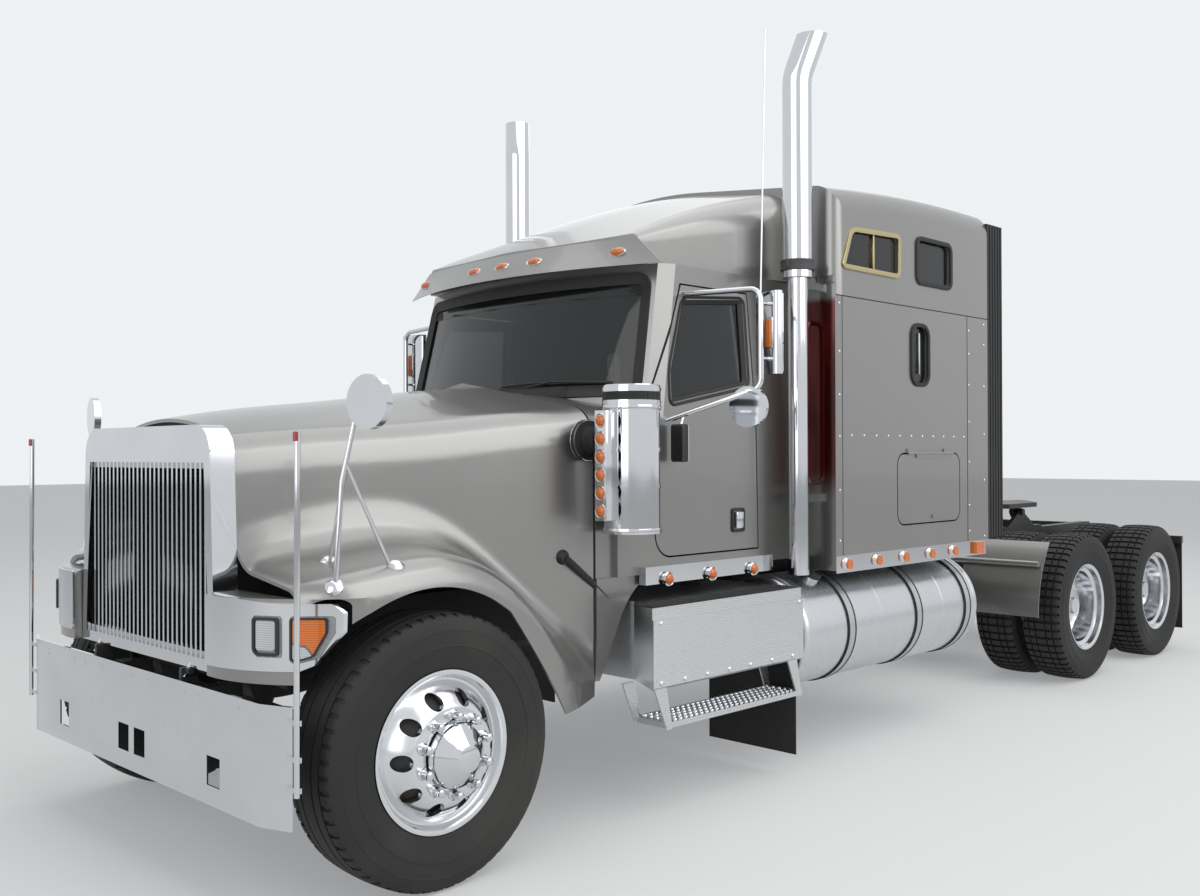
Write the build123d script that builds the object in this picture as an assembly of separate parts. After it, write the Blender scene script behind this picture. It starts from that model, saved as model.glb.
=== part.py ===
from build123d import *
import math
import os

os.makedirs("parts", exist_ok=True)

# All sizes are millimetres. X is positive to the truck's left, Y runs from nose to tail.
# The model is drawn with Y zero at the front axle and Z zero at the ground.
front_overhang = 665
rear_overhang = 7545
origin_shift = -(rear_overhang - front_overhang) / 2

# Gaps between pieces
seat_gap = 0.3
panel_gap = 8
bearing_gap = 0.1

# Tyres and rims
tyre_radius = 507
tyre_width = 285
bead_radius = 286
rim_width = 235
rim_flange_radius = 298.5
disc_offset = 169.5
disc_thickness = 22
hub_height = tyre_radius
bolt_circle_radius = 142.9
wheel_bolts = 10
hand_hole_radius = 29
hand_hole_circle = 204
drum_radius = 222
drum_bore = 200

# Axles
front_tyre_x = 1017
dual_disc_x = 904.5
rear_axle_y = (5584, 6904)
kingpin_x = 885
kingpin_radius = 22
kingpin_boss_radius = 45
kingpin_boss_height = 110
steering_arm_y = 215
steering_arm_inset = 20
steering_arm_z = 436
tie_rod_z = 395
tie_rod_radius = 18
spindle_radius = 38
rear_spindle_radius = 48

# Frame
rail_outer_x = 432
rail_width = 85
rail_bottom_z = 720
rail_top_z = 990
rail_steel = 8
flap_y = 7500
rail_front_y = -480
rail_rear_y = 7500

# Bumper and its rods
bumper_face_y = -front_overhang
bumper_bottom_z = 355
bumper_top_z = 765
bumper_steel = 6
bumper_flat_x = 1000
bumper_lip = 12
bumper_end_x = 1125
bumper_end_y = -620
rod_x = 1172
rod_y = -628
rod_top_z = 1670
rod_radius = 10

# Hood, tilting about a pin line low behind the bumper
hood_pin_y = -625
hood_pin_z = 795
hood_pin_radius = 12
hood_skin = 12
hood_front_y = -520
hood_rear_y = 975
skirt_bottom_z = 540
skirt_sweep = 20
chin_bottom_z = 806
arch_top_z = 1113
arch_front_y = -600
crown_radius = 1500
shoulder_radius = 170

# Grille
grille_front_y = -618
grille_back_y = hood_front_y
grille_top_z = 1706
grille_bottom_z = 806
grille_top_half = 556
grille_bottom_half = 597
grille_rim = 42
grille_header = 140
grille_bars = 27

# Cab
cab_half = 955
cab_front_y = 987
cab_rear_y = 2450
cab_floor_z = 1045
cab_waist_z = 1760
cab_roof_z = 2490
cab_roof_half = 905
cab_side_wall = 55
cab_front_wall = 40
door_front_y = 1345
door_rear_y = 2125
door_bottom_z = 1110
door_top_z = 2400
door_corner_radius = 110
pane_thickness = 6

# Sleeper
sleeper_half = 1200
sleeper_rear_y = 4100
sleeper_floor_z = 1062
side_top_z = 2400
sleeper_wall = 30
luggage_y = (3045, 3750)
luggage_z = (1190, 1590)

# Tanks and steps
tank_radius = 290
tank_x = 905
tank_z = 675
tank_y = (2200, 3980)
strap_y = (2600, 3280, 3840)
box_y = (1065, 2160)
box_z = (580, 930)
box_inner_x = 600
box_outer_x = 1200
step_z = 430

# Exhaust and intake
stack_x = 1076
stack_y = 2300
stack_radius = 76
stack_low_radius = 53
stack_top_z = 3712
cleaner_x = 1082
cleaner_y = 1058
cleaner_radius = 125
cleaner_z = (1250, 1885)
boot_x = 948
boot_y = 905
boot_z = 1650

# Fifth wheel
fifth_y = 6240
fifth_pivot_z = 1120
fifth_plate_z = 1190
kingpin_seat_radius = 25.6


def box(x0, x1, y0, y1, z0, z1):
    """A block between two corners."""
    return Pos((x0 + x1) / 2, (y0 + y1) / 2, (z0 + z1) / 2) * Box(x1 - x0, y1 - y0, z1 - z0)


def outline(points, corner=0):
    """A closed face through the points, with all corners rounded when corner is given."""
    face = make_face(Polyline(*points, close=True))
    return fillet(face.vertices(), corner) if corner else face


def prism_x(points, x0, x1, corner=0):
    """Points are (y, z), drawn on a plane across X."""
    return extrude(Plane.YZ.offset(x0) * outline(points, corner), x1 - x0)


def prism_y(points, y0, y1, corner=0):
    """Points are (x, z), drawn on a plane across Y."""
    return extrude(Plane.XZ.offset(-y1) * outline(points, corner), y1 - y0)


def prism_z(points, z0, z1, corner=0):
    """Points are (x, y), drawn on a level plane."""
    return extrude(Plane.XY.offset(z0) * outline(points, corner), z1 - z0)


def rod(start, end, radius):
    """A round bar from start to end."""
    run = Vector(*end) - Vector(*start)
    return extrude(Plane(start, z_dir=run) * Circle(radius), run.length)


def tube(points, radius, bend):
    """A round tube along straight runs joined by bends."""
    path = FilletPolyline(*points, radius=bend)
    return sweep(Plane(path @ 0, z_dir=path % 0) * Circle(radius), path=path)


def turned_x(points):
    """Points are (x, radius) of a section turned about the X axis."""
    return revolve(make_face(Polyline(*points, close=True)), Axis.X, 360)


def other_side(shape):
    """The same piece on the truck's right."""
    return mirror(shape, Plane.YZ)


def both_sides(shapes):
    """Pieces of the left side with their twins."""
    left = list(shapes) if isinstance(shapes, (list, tuple)) else [shapes]
    return left + [other_side(shape) for shape in left]


def write(name, shapes):
    """One file per named piece, moved so that Y zero is at the middle of the overall length."""
    listed = shapes if isinstance(shapes, (list, tuple)) else [shapes]
    solids = [solid for shape in listed for solid in shape.solids()]
    placed = Pos(0, origin_shift, 0) * Compound(solids)
    export_step(placed, f"parts/{name}.step")


# Wheels


def tyre():
    half = tyre_width / 2
    bead = rim_width / 2 - 10.4
    section = [
        Line((-bead, bead_radius + seat_gap), (bead, bead_radius + seat_gap)),
        Line((bead, bead_radius + seat_gap), (bead, rim_flange_radius + 3)),
        ThreePointArc((bead, rim_flange_radius + 3), (half, 400), (half - 14, 486)),
        ThreePointArc((half - 14, 486), (half - 20, 497), (half - 32, 501)),
        ThreePointArc((half - 32, 501), (0, tyre_radius), (32 - half, 501)),
        ThreePointArc((32 - half, 501), (20 - half, 497), (14 - half, 486)),
        ThreePointArc((14 - half, 486), (-half, 400), (-bead, rim_flange_radius + 3)),
        Line((-bead, rim_flange_radius + 3), (-bead, bead_radius + seat_gap)),
    ]
    return revolve(make_face(section), Axis.X, 360)


def rim():
    """A forged disc wheel, its disc towards +X."""
    half = rim_width / 2
    face = disc_offset
    back = disc_offset - disc_thickness
    barrel = turned_x([
        (half, rim_flange_radius),
        (half - 8, rim_flange_radius),
        (half - 10, bead_radius),
        (75, bead_radius - 3),
        (62, 258),
        (-62, 258),
        (-75, bead_radius - 3),
        (10 - half, bead_radius),
        (8 - half, rim_flange_radius),
        (-half, rim_flange_radius),
        (-half, 290),
        (8 - half, 276),
        (-78, 272),
        (-66, 247),
        (58, 247),
        (92, 218),
        (back - 8, 190),
        (back, 170),
        (back, 105),
        (face, 105),
        (face, 172),
        (face - 10, 196),
        (116, 224),
        (84, 258),
        (84, 272),
        (half - 8, 276),
        (half, 290),
    ])
    for hole in range(wheel_bolts):
        turn = (hole + 0.5) * 360 / wheel_bolts
        drill = rod((0, 0, hand_hole_circle), (disc_offset + 40, 0, hand_hole_circle), hand_hole_radius)
        barrel -= Rot(turn, 0, 0) * drill
    return barrel


def lug_nuts(face, radius, height):
    """Capped nuts standing on the disc's face."""
    nut = rod((face, 0, bolt_circle_radius), (face + height, 0, bolt_circle_radius), radius)
    nut = fillet(nut.edges().sort_by(Axis.X)[-1], radius * 0.6)
    return [Rot(turn * 360 / wheel_bolts, 0, 0) * nut for turn in range(wheel_bolts)]


def front_rim():
    """Rim, hub, cap, lugs and drum of a steered wheel, about its own axle line."""
    inner = disc_offset - disc_thickness
    hub = turned_x([
        (0, spindle_radius + bearing_gap),
        (0, 85),
        (inner - 30, 85),
        (inner - 30, drum_bore),
        (-18, drum_bore),
        (-18, drum_radius),
        (inner - 8, drum_radius),
        (inner - 8, 176),
        (inner, 176),
        (inner, 100),
        (disc_offset + 6, 100),
        (disc_offset + 8, 118),
        (disc_offset + 22, 116),
        (disc_offset + 52, 96),
        (disc_offset + 76, 66),
        (disc_offset + 90, 58),
        (disc_offset + 98, 40),
        (disc_offset + 100, 0),
        (inner - 8, 0),
        (inner - 8, spindle_radius + bearing_gap),
    ])
    wheel = rim() + hub
    for nut in lug_nuts(disc_offset - 1, 18, 52):
        wheel += nut
    return wheel


def rear_rims(side):
    """Both rims of a dual pair with hub and drum, discs meeting at X zero, the hub's end towards side."""
    outer = Pos(disc_offset, 0, 0) * Rot(0, 0, 180) * rim()
    inner = Pos(-disc_offset, 0, 0) * rim()
    reach = 205
    profile = [
        (-190, rear_spindle_radius + bearing_gap),
        (-190, 100),
        (-70, 100),
        (-70, drum_bore),
        (-185, drum_bore),
        (-185, drum_radius),
        (-disc_thickness - 6, drum_radius),
        (-disc_thickness - 6, 170),
        (-disc_thickness + 1, 170),
        (-disc_thickness + 1, 106),
        (disc_thickness + 70, 104),
        (disc_thickness + 76, 92),
        (reach - 40, 90),
        (reach - 38, 118),
        (reach - 22, 118),
        (reach - 20, 62),
        (reach, 56),
        (reach, 0),
        (120, 0),
        (120, rear_spindle_radius + bearing_gap),
    ]
    pair = outer + inner + turned_x([(side * x, radius) for x, radius in profile])
    for nut in lug_nuts(disc_thickness - 1, 17, 34):
        pair += nut if side > 0 else Rot(0, 0, 180) * nut
    return pair


front_tyre = tyre()
front_wheel = front_rim()
dual_rims = {side: rear_rims(side) for side in (1, -1)}
dual_tyres = [Pos(-disc_offset, 0, 0) * tyre(), Pos(disc_offset, 0, 0) * tyre()]
front_hub = Pos(front_tyre_x, 0, hub_height)
write("tyre_front_left", front_hub * front_tyre)
write("tyre_front_right", other_side(front_hub * front_tyre))
write("rim_front_left", front_hub * front_wheel)
write("rim_front_right", other_side(front_hub * front_wheel))
for axle, axle_y in zip(("mid", "rear"), rear_axle_y):
    for name, side in (("left", 1), ("right", -1)):
        hub_place = Pos(side * dual_disc_x, axle_y, hub_height)
        write(f"tyres_{axle}_{name}", [hub_place * t for t in dual_tyres])
        write(f"rims_{axle}_{name}", hub_place * dual_rims[side])


# Front axle and steering


def front_axle():
    """Dropped I beam with a boss at each end for the kingpin."""
    low, high, eye = 370, 470, hub_height
    rise = kingpin_x - 95
    half_boss = kingpin_boss_height / 2
    side = [
        (-rise, eye + half_boss - 5),
        (-600, high),
        (600, high),
        (rise, eye + half_boss - 5),
        (kingpin_x, eye + half_boss - 5),
        (kingpin_x, eye - half_boss + 5),
        (rise, eye - half_boss + 5),
        (610, low),
        (-610, low),
        (-rise, eye - half_boss + 5),
        (-kingpin_x, eye - half_boss + 5),
        (-kingpin_x, eye + half_boss - 5),
    ]
    beam = prism_y(side, -45, 45)
    for sign in (-1, 1):
        pocket = [(-580, low + 18), (580, low + 18), (580, high - 18), (-580, high - 18)]
        beam -= prism_y(pocket, *sorted((sign * 12, sign * 46)))
    for x in (-kingpin_x, kingpin_x):
        beam += rod((x, 0, eye - half_boss), (x, 0, eye + half_boss), kingpin_boss_radius)
        beam -= rod((x, 0, eye - 100), (x, 0, eye + 100), kingpin_radius + bearing_gap)
    return beam


spring_x = (350, 432)
spring_seat_z = 470
spring_eye = ((-340, 650), (720, 650))


def front_springs():
    """Leaf packs with their hangers under the rails."""
    (front_y, eye_z), (rear_y, _) = spring_eye
    leaf = make_face([
        ThreePointArc((front_y, eye_z - 30), (0, spring_seat_z + 14), (rear_y, eye_z - 30)),
        Line((rear_y, eye_z - 30), (rear_y, eye_z + 5)),
        ThreePointArc((rear_y, eye_z + 5), (0, spring_seat_z + 64), (front_y, eye_z + 5)),
        Line((front_y, eye_z + 5), (front_y, eye_z - 30)),
    ])
    x0, x1 = spring_x
    pack = extrude(Plane.YZ.offset(x0) * leaf, x1 - x0)
    for y, z in spring_eye:
        pack += rod((x0, y, z), (x1, y, z), 36)
        pack += prism_x([(y - 30, z), (y + 30, z), (y + 60, rail_bottom_z), (y - 60, rail_bottom_z)], x0, x1)
    pack += box(x0, x1, -60, 60, spring_seat_z + seat_gap, spring_seat_z + 70)
    return both_sides(pack)


def knuckle(eye_radius):
    """Left steering knuckle with kingpin, spindle, backing plate and arm."""
    half = kingpin_boss_height / 2
    top = hub_height + half + seat_gap
    low = hub_height - half - seat_gap
    pin = rod((kingpin_x, 0, low - 30), (kingpin_x, 0, top + 30), kingpin_radius)
    upper = rod((kingpin_x, 0, top), (kingpin_x, 0, top + 30), 46)
    lower = rod((kingpin_x, 0, low - 30), (kingpin_x, 0, low), 46)
    yoke = box(kingpin_x, kingpin_x + 95, -40, 40, top, top + 30)
    yoke += box(kingpin_x, kingpin_x + 95, -40, 40, low - 30, low)
    yoke += box(kingpin_x + 62, kingpin_x + 95, -40, 40, low - 30, top + 30)
    axle = rod((kingpin_x + 62, 0, hub_height), (front_tyre_x + 138, 0, hub_height), spindle_radius)
    plate_x = kingpin_x + 90
    plate = rod((plate_x, 0, hub_height), (plate_x + 9, 0, hub_height), 192)
    arm_x, arm_y = kingpin_x - steering_arm_inset, steering_arm_y
    low_z, high_z = steering_arm_z - 12, steering_arm_z + 12
    plan = [(kingpin_x - 30, 20), (kingpin_x + 30, 20), (arm_x + 24, arm_y), (arm_x - 24, arm_y)]
    arm = prism_z(plan, low_z, high_z) + rod((arm_x, arm_y, low_z), (arm_x, arm_y, high_z), 32)
    arm -= rod((arm_x, arm_y, low_z - 8), (arm_x, arm_y, high_z + 8), eye_radius)
    return pin + upper + lower + yoke + axle + plate + arm


stud_radius = 9
open_eye_radius = 20
write("front_axle", front_axle())
write("front_springs", front_springs())
write("knuckle_left", knuckle(stud_radius + bearing_gap))
write("knuckle_right", other_side(knuckle(open_eye_radius)))


def tie_rod():
    """Cross rod with a ball stud at each end, the right one loose in its eye."""
    end_x = kingpin_x - steering_arm_inset
    bar = rod((-end_x, steering_arm_y, tie_rod_z), (end_x, steering_arm_y, tie_rod_z), tie_rod_radius)
    for x in (-end_x, end_x):
        bar += rod((x, steering_arm_y, tie_rod_z - 20), (x, steering_arm_y, tie_rod_z + 22), 24)
        bar += rod((x, steering_arm_y, tie_rod_z), (x, steering_arm_y, steering_arm_z + 18), stud_radius)
    return bar


write("tie_rod", tie_rod())


# Drive axles and rear suspension


def drive_axle(axle_y):
    """Banjo housing with a spindle at each end."""
    body = Pos(0, axle_y, hub_height) * turned_x([
        (-660, 0),
        (-660, 72),
        (-240, 72),
        (-140, 200),
        (140, 200),
        (240, 72),
        (660, 72),
        (660, 0),
    ])
    for sign in (-1, 1):
        centre = (sign * 640, axle_y, hub_height)
        body += rod(centre, (sign * (dual_disc_x + 112), axle_y, hub_height), rear_spindle_radius)
        body += rod((sign * 690, axle_y, hub_height), (sign * 702, axle_y, hub_height), 190)
    nose = rod((0, axle_y - 290, hub_height + 60), (0, axle_y, hub_height + 60), 105)
    tail = rod((0, axle_y, hub_height + 40), (0, axle_y + 200, hub_height + 40), 80)
    return body + nose + tail


beam_x = (345, 425)
beam_top_z = hub_height + 72 + 60
air_spring_y = 430


def rear_suspension():
    """Trailing beams clamped to each axle, each with a hanger ahead and an air spring behind."""
    x0, x1 = beam_x
    pieces = []
    for axle_y in rear_axle_y:
        beam = prism_x(
            [
                (axle_y - 560, beam_top_z - 25),
                (axle_y + air_spring_y + 90, beam_top_z - 90),
                (axle_y + air_spring_y + 90, beam_top_z - 55),
                (axle_y + 120, beam_top_z - 10),
                (axle_y - 560, beam_top_z + 15),
            ],
            x0, x1,
        )
        beam += box(x0, x1, axle_y - 80, axle_y + 80, hub_height + 60, beam_top_z)
        beam -= rod((x0 - 5, axle_y, hub_height), (x1 + 5, axle_y, hub_height), 72 + seat_gap)
        y0, y1 = axle_y - 580, axle_y - 480
        beam += prism_x([(y0, 600), (y1, 600), (y1 + 40, rail_bottom_z), (y0 - 40, rail_bottom_z)], x0, x1)
        bag_x, bag_y = (x0 + x1) / 2, axle_y + air_spring_y
        beam += rod((bag_x, bag_y, beam_top_z - 70), (bag_x, bag_y, rail_bottom_z), 95)
        pieces.append(beam)
    return both_sides(pieces)


gearbox_end_y = 1900


def drive_shafts():
    """Shaft from the gearbox to the first drive axle and between the two."""
    nose_y = rear_axle_y[0] - 290
    runs = (
        ((gearbox_end_y, 760), (nose_y, hub_height + 60)),
        ((rear_axle_y[0] + 200, hub_height + 40), (rear_axle_y[1] - 290, hub_height + 60)),
    )
    shafts = []
    for (y0, z0), (y1, z1) in runs:
        shaft = rod((0, y0 + 20, z0), (0, y1 - 20, z1), 42)
        shaft += rod((0, y0 + seat_gap, z0), (0, y0 + 40, z0), 62)
        shaft += rod((0, y1 - 40, z1), (0, y1 - seat_gap, z1), 62)
        shafts.append(shaft)
    return shafts


write("drive_axles", [drive_axle(y) for y in rear_axle_y] + drive_shafts())
write("rear_suspension", rear_suspension())


# Frame, engine, radiator


def frame_rails():
    """Two channel rails with their horns for the bumper and the hood's pivot pins."""
    outer, inner = rail_outer_x, rail_outer_x - rail_width
    section = [
        (inner, rail_bottom_z),
        (outer, rail_bottom_z),
        (outer, rail_top_z),
        (inner, rail_top_z),
        (inner, rail_top_z - rail_steel),
        (outer - rail_steel, rail_top_z - rail_steel),
        (outer - rail_steel, rail_bottom_z + rail_steel),
        (inner, rail_bottom_z + rail_steel),
    ]
    rail = prism_y(section, rail_front_y, rail_rear_y)
    horn_back = rail_front_y + 60
    bumper_seat = bumper_face_y + bumper_steel + seat_gap
    horn_top = rail_bottom_z + 4
    horn = [(bumper_seat, 560), (horn_back, 660), (horn_back, horn_top), (bumper_seat, horn_top)]
    rail += prism_x(horn, inner, outer)
    lug = prism_x(
        [
            (hood_pin_y - 24, rail_bottom_z),
            (hood_pin_y + 60, rail_bottom_z),
            (hood_pin_y + 22, hood_pin_z + 10),
            (hood_pin_y - 22, hood_pin_z + 10),
        ],
        376, 396,
    )
    pin = rod((376, hood_pin_y, hood_pin_z), (428, hood_pin_y, hood_pin_z), hood_pin_radius)
    for y in cab_mount_y:
        rail += box(inner + 10, outer - 10, y - 45, y + 45, rail_top_z - 1, cab_floor_z - seat_gap)
    hanger = box(outer + seat_gap, 1190, flap_y - 40, flap_y - seat_gap, 840, 900)
    return both_sides(rail + lug + pin) + both_sides(hanger)


cross_member_y = (-400, 2350, 3300, 4300, 4950, 6244, 7440)
cab_mount_y = (1250, 2250)


def cross_members():
    """Members between the rails' webs."""
    half = rail_outer_x - rail_steel - seat_gap
    low, high = 800, rail_top_z - rail_steel - seat_gap
    members = [box(-half, half, y - 30, y + 30, low, high) for y in cross_member_y[1:]]
    y0, z0 = cross_member_y[0], rail_bottom_z
    return [box(-half, half, y0 - 50, y0 + 50, z0 + 10, z0 + 60)] + members


engine_y = (-150, 960)
engine_z = (640, 1480)
engine_half = 300


def engine():
    """Engine and gearbox as one plain block on its mounts."""
    block = box(-engine_half, engine_half, *engine_y, *engine_z)
    block += box(-190, 190, engine_y[1] - 1, gearbox_end_y, 640, 955)
    web = rail_outer_x - rail_steel - seat_gap
    for y in (150, 900):
        block += box(-web, web, y - 50, y + 50, 800, 880)
    return block


def radiator():
    foot = rail_bottom_z + 60 + seat_gap
    core = box(-430, 430, -445, -345, rail_top_z + 15, 1600)
    core += box(-335, 335, -445, -345, foot, rail_top_z + 15)
    return core


write("frame_rails", frame_rails() + cross_members())
write("engine_block", engine())
write("radiator", radiator())


# Bumper


def bumper():
    """Deep chromed bumper with turned ends, a rolled top edge, tow holes and guide rods."""
    face, end_y, steel = bumper_face_y, bumper_end_y, bumper_steel
    front = [
        (-bumper_end_x, end_y),
        (-bumper_flat_x, face),
        (bumper_flat_x, face),
        (bumper_end_x, end_y),
        (bumper_end_x - 2, end_y + steel),
        (bumper_flat_x - 2, face + steel),
        (2 - bumper_flat_x, face + steel),
        (2 - bumper_end_x, end_y + steel),
    ]
    sheet = prism_z(front, bumper_bottom_z, bumper_top_z)
    lip = [
        (-bumper_end_x, end_y),
        (-bumper_flat_x, face),
        (bumper_flat_x, face),
        (bumper_end_x, end_y),
        (bumper_end_x - 5, end_y + bumper_lip),
        (bumper_flat_x - 4, face + bumper_lip),
        (4 - bumper_flat_x, face + bumper_lip),
        (5 - bumper_end_x, end_y + bumper_lip),
    ]
    sheet += prism_z(lip, bumper_top_z - steel, bumper_top_z)
    for sign in (-1, 1):
        for x in (72, 675):
            hole = box(x - 48, x + 48, face - 20, face + 40, 425, 530)
            sheet -= hole if sign > 0 else other_side(hole)
    guide = tube([(rod_x, rod_y, 480), (rod_x, rod_y, 760), (rod_x, rod_y + 6, rod_top_z)], rod_radius, 60)
    for z in (500, 600, 720):
        guide += box(bumper_end_x - 16, rod_x + 4, bumper_end_y - 10, bumper_end_y + 8, z - 9, z + 9)
    return sheet + guide + other_side(guide)


write("bumper", bumper())


# Hood


# Section stations of hood and fenders: y, hood side x, shoulder corner z, crown z, fender side x,
# fender corner z, junction z, fender corner radius, concave radius
hood_stations = (
    (hood_front_y, 560, 1640, 1800, 1010, 1125, 1190, 90, 150),
    (-400, 598, 1652, 1818, 1118, 1165, 1222, 105, 170),
    (-200, 655, 1670, 1840, 1156, 1197, 1252, 120, 190),
    (150, 742, 1694, 1868, 1160, 1188, 1246, 120, 190),
    (450, 820, 1725, 1895, 1157, 985, 1080, 120, 190),
    (720, 885, 1755, 1920, 1080, 700, 900, 120, 190),
    (hood_rear_y, 928, 1785, 1942, 942, 600, 760, 120, 190),
)


def hood_section(station, inset):
    """One cross section through hood and both fenders, inset by a skin thickness."""
    y, side, shoulder, crown, fender, top, junction, round_out, round_in = station
    side, fender = side - inset, fender - inset
    half = [
        (fender, skirt_bottom_z - inset),
        (fender, top - inset),
        (side, junction - inset),
        (side, shoulder - inset),
    ]
    points = half + [(0, crown - inset)] + [(-x, z) for x, z in reversed(half)]
    bends = [round_out - inset, round_in + inset, shoulder_radius - inset]
    wire = FilletPolyline(*points, radius=bends + [crown_radius - inset] + bends[::-1])
    face = make_face(wire.edges() + Line(points[-1], points[0]).edges())
    return Plane((0, y, 0), x_dir=(1, 0, 0), z_dir=(0, -1, 0)) * face


def arch_cut():
    """The wheel opening: round over the tyre, straight down behind it."""
    edge = [
        Line((arch_front_y, 400), (arch_front_y, 700)),
        ThreePointArc((arch_front_y, 700), (-30, arch_top_z), (300, 990)),
        Line((300, 990), (680, 480)),
        Line((680, 480), (680, 400)),
        Line((680, 400), (arch_front_y, 400)),
    ]
    return extrude(Plane.YZ.offset(600) * make_face(edge), 700)


# Plan of the nose from the grille round to the fender's side, as three points of one arc
nose_plan = ((600, -650), (968, -548), (1150, -300))
nose_top_z = 1100


def nose_front(offset):
    """Everything ahead of the nose's plan line moved out by offset."""
    (x0, y0), (x1, y1), (x2, y2) = nose_plan
    arc = ThreePointArc((x0, y0 - offset), (x1 + offset * 0.64, y1 - offset * 0.77), (x2 + offset, y2))
    edge = arc.edges() + [
        Line((x2 + offset, y2), (1400, y2)),
        Line((1400, y2), (1400, -900)),
        Line((1400, -900), (x0, -900)),
        Line((x0, -900), (x0, y0 - offset)),
    ]
    return make_face(edge)


def hood_shell():
    arch = arch_cut()
    shell = hood_outer - loft([hood_section(station, hood_skin) for station in hood_stations])
    shell = shell - arch - other_side(arch)
    shell -= box(-1300, 1300, hood_front_y - 10, -300, 400, chin_bottom_z)
    rear, swept = hood_rear_y + 5, hood_rear_y - skirt_sweep
    shell -= prism_x([(hood_rear_y, hood_pin_z), (swept, skirt_bottom_z), (swept, 500), (rear, 500), (rear, hood_pin_z)], -1300, 1300)
    inner_x = nose_plan[0][0]
    nose = box(inner_x, 1100, nose_plan[0][1] - 5, hood_front_y, chin_bottom_z, nose_top_z)
    nose = fillet(nose.edges().filter_by(Axis.X).group_by(Axis.Z)[-1].group_by(Axis.Y)[0], 40)
    hollow = box(inner_x + hood_skin, 1200, -700, hood_front_y + 1, chin_bottom_z - 1, nose_top_z - hood_skin)
    hollow -= extrude(Plane.XY.offset(700) * nose_front(-hood_skin), 600)
    nose -= hollow
    trim = extrude(Plane.XY.offset(780) * nose_front(0), nose_top_z - 780)
    shell = shell - trim - other_side(trim)
    nose -= trim
    return shell + nose + other_side(nose)


hood_outer = loft([hood_section(station, 0) for station in hood_stations])
write("hood_shell", hood_shell())


def grille_outline(rim, header):
    """Half-widths narrow towards the top, whose corners are round."""
    top, low = grille_top_half - rim, grille_bottom_half - rim
    z0, z1 = grille_bottom_z + rim, grille_top_z - header
    return [(-low, z0), (low, z0), (top, z1), (-top, z1)]


def grille_frame():
    """Chromed surround with side returns back to the hood."""
    face = outline(grille_outline(0, 0))
    face = fillet(face.vertices().group_by(Axis.Y)[-1], 110)
    hole = outline(grille_outline(grille_rim, grille_header))
    depth = grille_back_y - grille_front_y - seat_gap
    solid = extrude(Plane.XZ.offset(-grille_front_y - depth) * face, depth)
    cut = extrude(Plane.XZ.offset(-grille_front_y - depth - 5) * hole, depth + 10)
    frame = solid - cut
    for sign in (-1, 1):
        x0, x1 = sorted((sign * 399, sign * 415))
        arm = prism_x(
            [
                (hood_pin_y - 20, hood_pin_z - 20),
                (hood_pin_y + 24, hood_pin_z - 20),
                (hood_pin_y + 60, grille_bottom_z + 20),
                (hood_pin_y + 8, grille_bottom_z + 20),
            ],
            x0, x1,
        )
        y, z = hood_pin_y, hood_pin_z
        frame += arm - rod((x0 - 5, y, z), (x1 + 5, y, z), hood_pin_radius + bearing_gap)
    return frame


def grille():
    """Upright bars fused to a rail at top and bottom."""
    edge = grille_outline(grille_rim + seat_gap, grille_header + seat_gap)
    (low_x, z0), (top_x, z1) = edge[1], edge[2]
    y0, y1 = grille_front_y + 14, grille_front_y + 40
    low_rail = [(3 - low_x, z0), (low_x - 3, z0), (low_x - 6, z0 + 22), (6 - low_x, z0 + 22)]
    top_rail = [(-top_x, z1 - 22), (top_x, z1 - 22), (top_x - 1, z1), (1 - top_x, z1)]
    bars = prism_y(low_rail, y0 + 6, y1 + 14) + prism_y(top_rail, y0 + 6, y1 + 14)
    span = 2 * top_x - 30
    for index in range(grille_bars):
        x = -span / 2 + index * span / (grille_bars - 1)
        bars += box(x - 7, x + 7, y0, y1, z0, z1)
    return bars


write("grille_frame", grille_frame())
write("grille_bars", grille())


# Front views of the lamps and their bezel, as (x, z)
headlamp_edge = [(868, 918), (884, 900), (966, 900), (966, 1043), (868, 1043)]
turn_lamp_edge = [(988, 884), (1008, 880), (1062, 900), (1094, 985), (1094, 1043), (988, 1043)]
bezel_edge = [
    (602, 848), (1012, 854), (1048, 874), (1107, 986), (1108, 1052), (1088, 1084), (920, 1086), (800, 1098),
    (602, 1098),
]
lens_proud = 12
lens_gap = 0.8
bezel_proud = 9


def nose_band(near, far, points, grow=0):
    """A plate that follows the nose's plan line, between two offsets from it, with the given front view."""
    z0, z1 = min(z for _, z in points) - 5, max(z for _, z in points) + 5
    band = extrude(Plane.XY.offset(z0) * nose_front(near), z1 - z0)
    band -= extrude(Plane.XY.offset(z0 - 5) * nose_front(far), z1 - z0 + 10)
    window = fillet(outline(points).vertices(), 10)
    window = offset(window, grow) if grow else window
    return band & extrude(Plane.XZ.offset(200) * window, 600)


def headlamp_bezel():
    """Chromed plate round the fender's nose with openings for both lamps."""
    plate = nose_band(seat_gap, bezel_proud, bezel_edge)
    for edge in (headlamp_edge, turn_lamp_edge):
        plate -= nose_band(-2, 20, edge)
    return plate


def lamp_lenses():
    return [nose_band(seat_gap, lens_proud, edge, -lens_gap) for edge in (headlamp_edge, turn_lamp_edge)]


def hood_mirror():
    """Round mirror on a bent post with two struts."""
    post = tube([(1075, -424, 1080), (1085, -400, 1500), (1100, -345, 1760)], 9, 200)
    post += rod((1090, -180, 1150), (1090, -385, 1560), 7)
    post += rod((850, -310, 1150), (1090, -385, 1560), 7)
    head = Plane((1165, -340, 1775), z_dir=(0.2, -1, 0)) * Cylinder(95, 30)
    post += rod((1100, -345, 1755), (1165, -335, 1775), 9)
    return post + head - Pos(0, 0, seat_gap) * hood_outer


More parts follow.
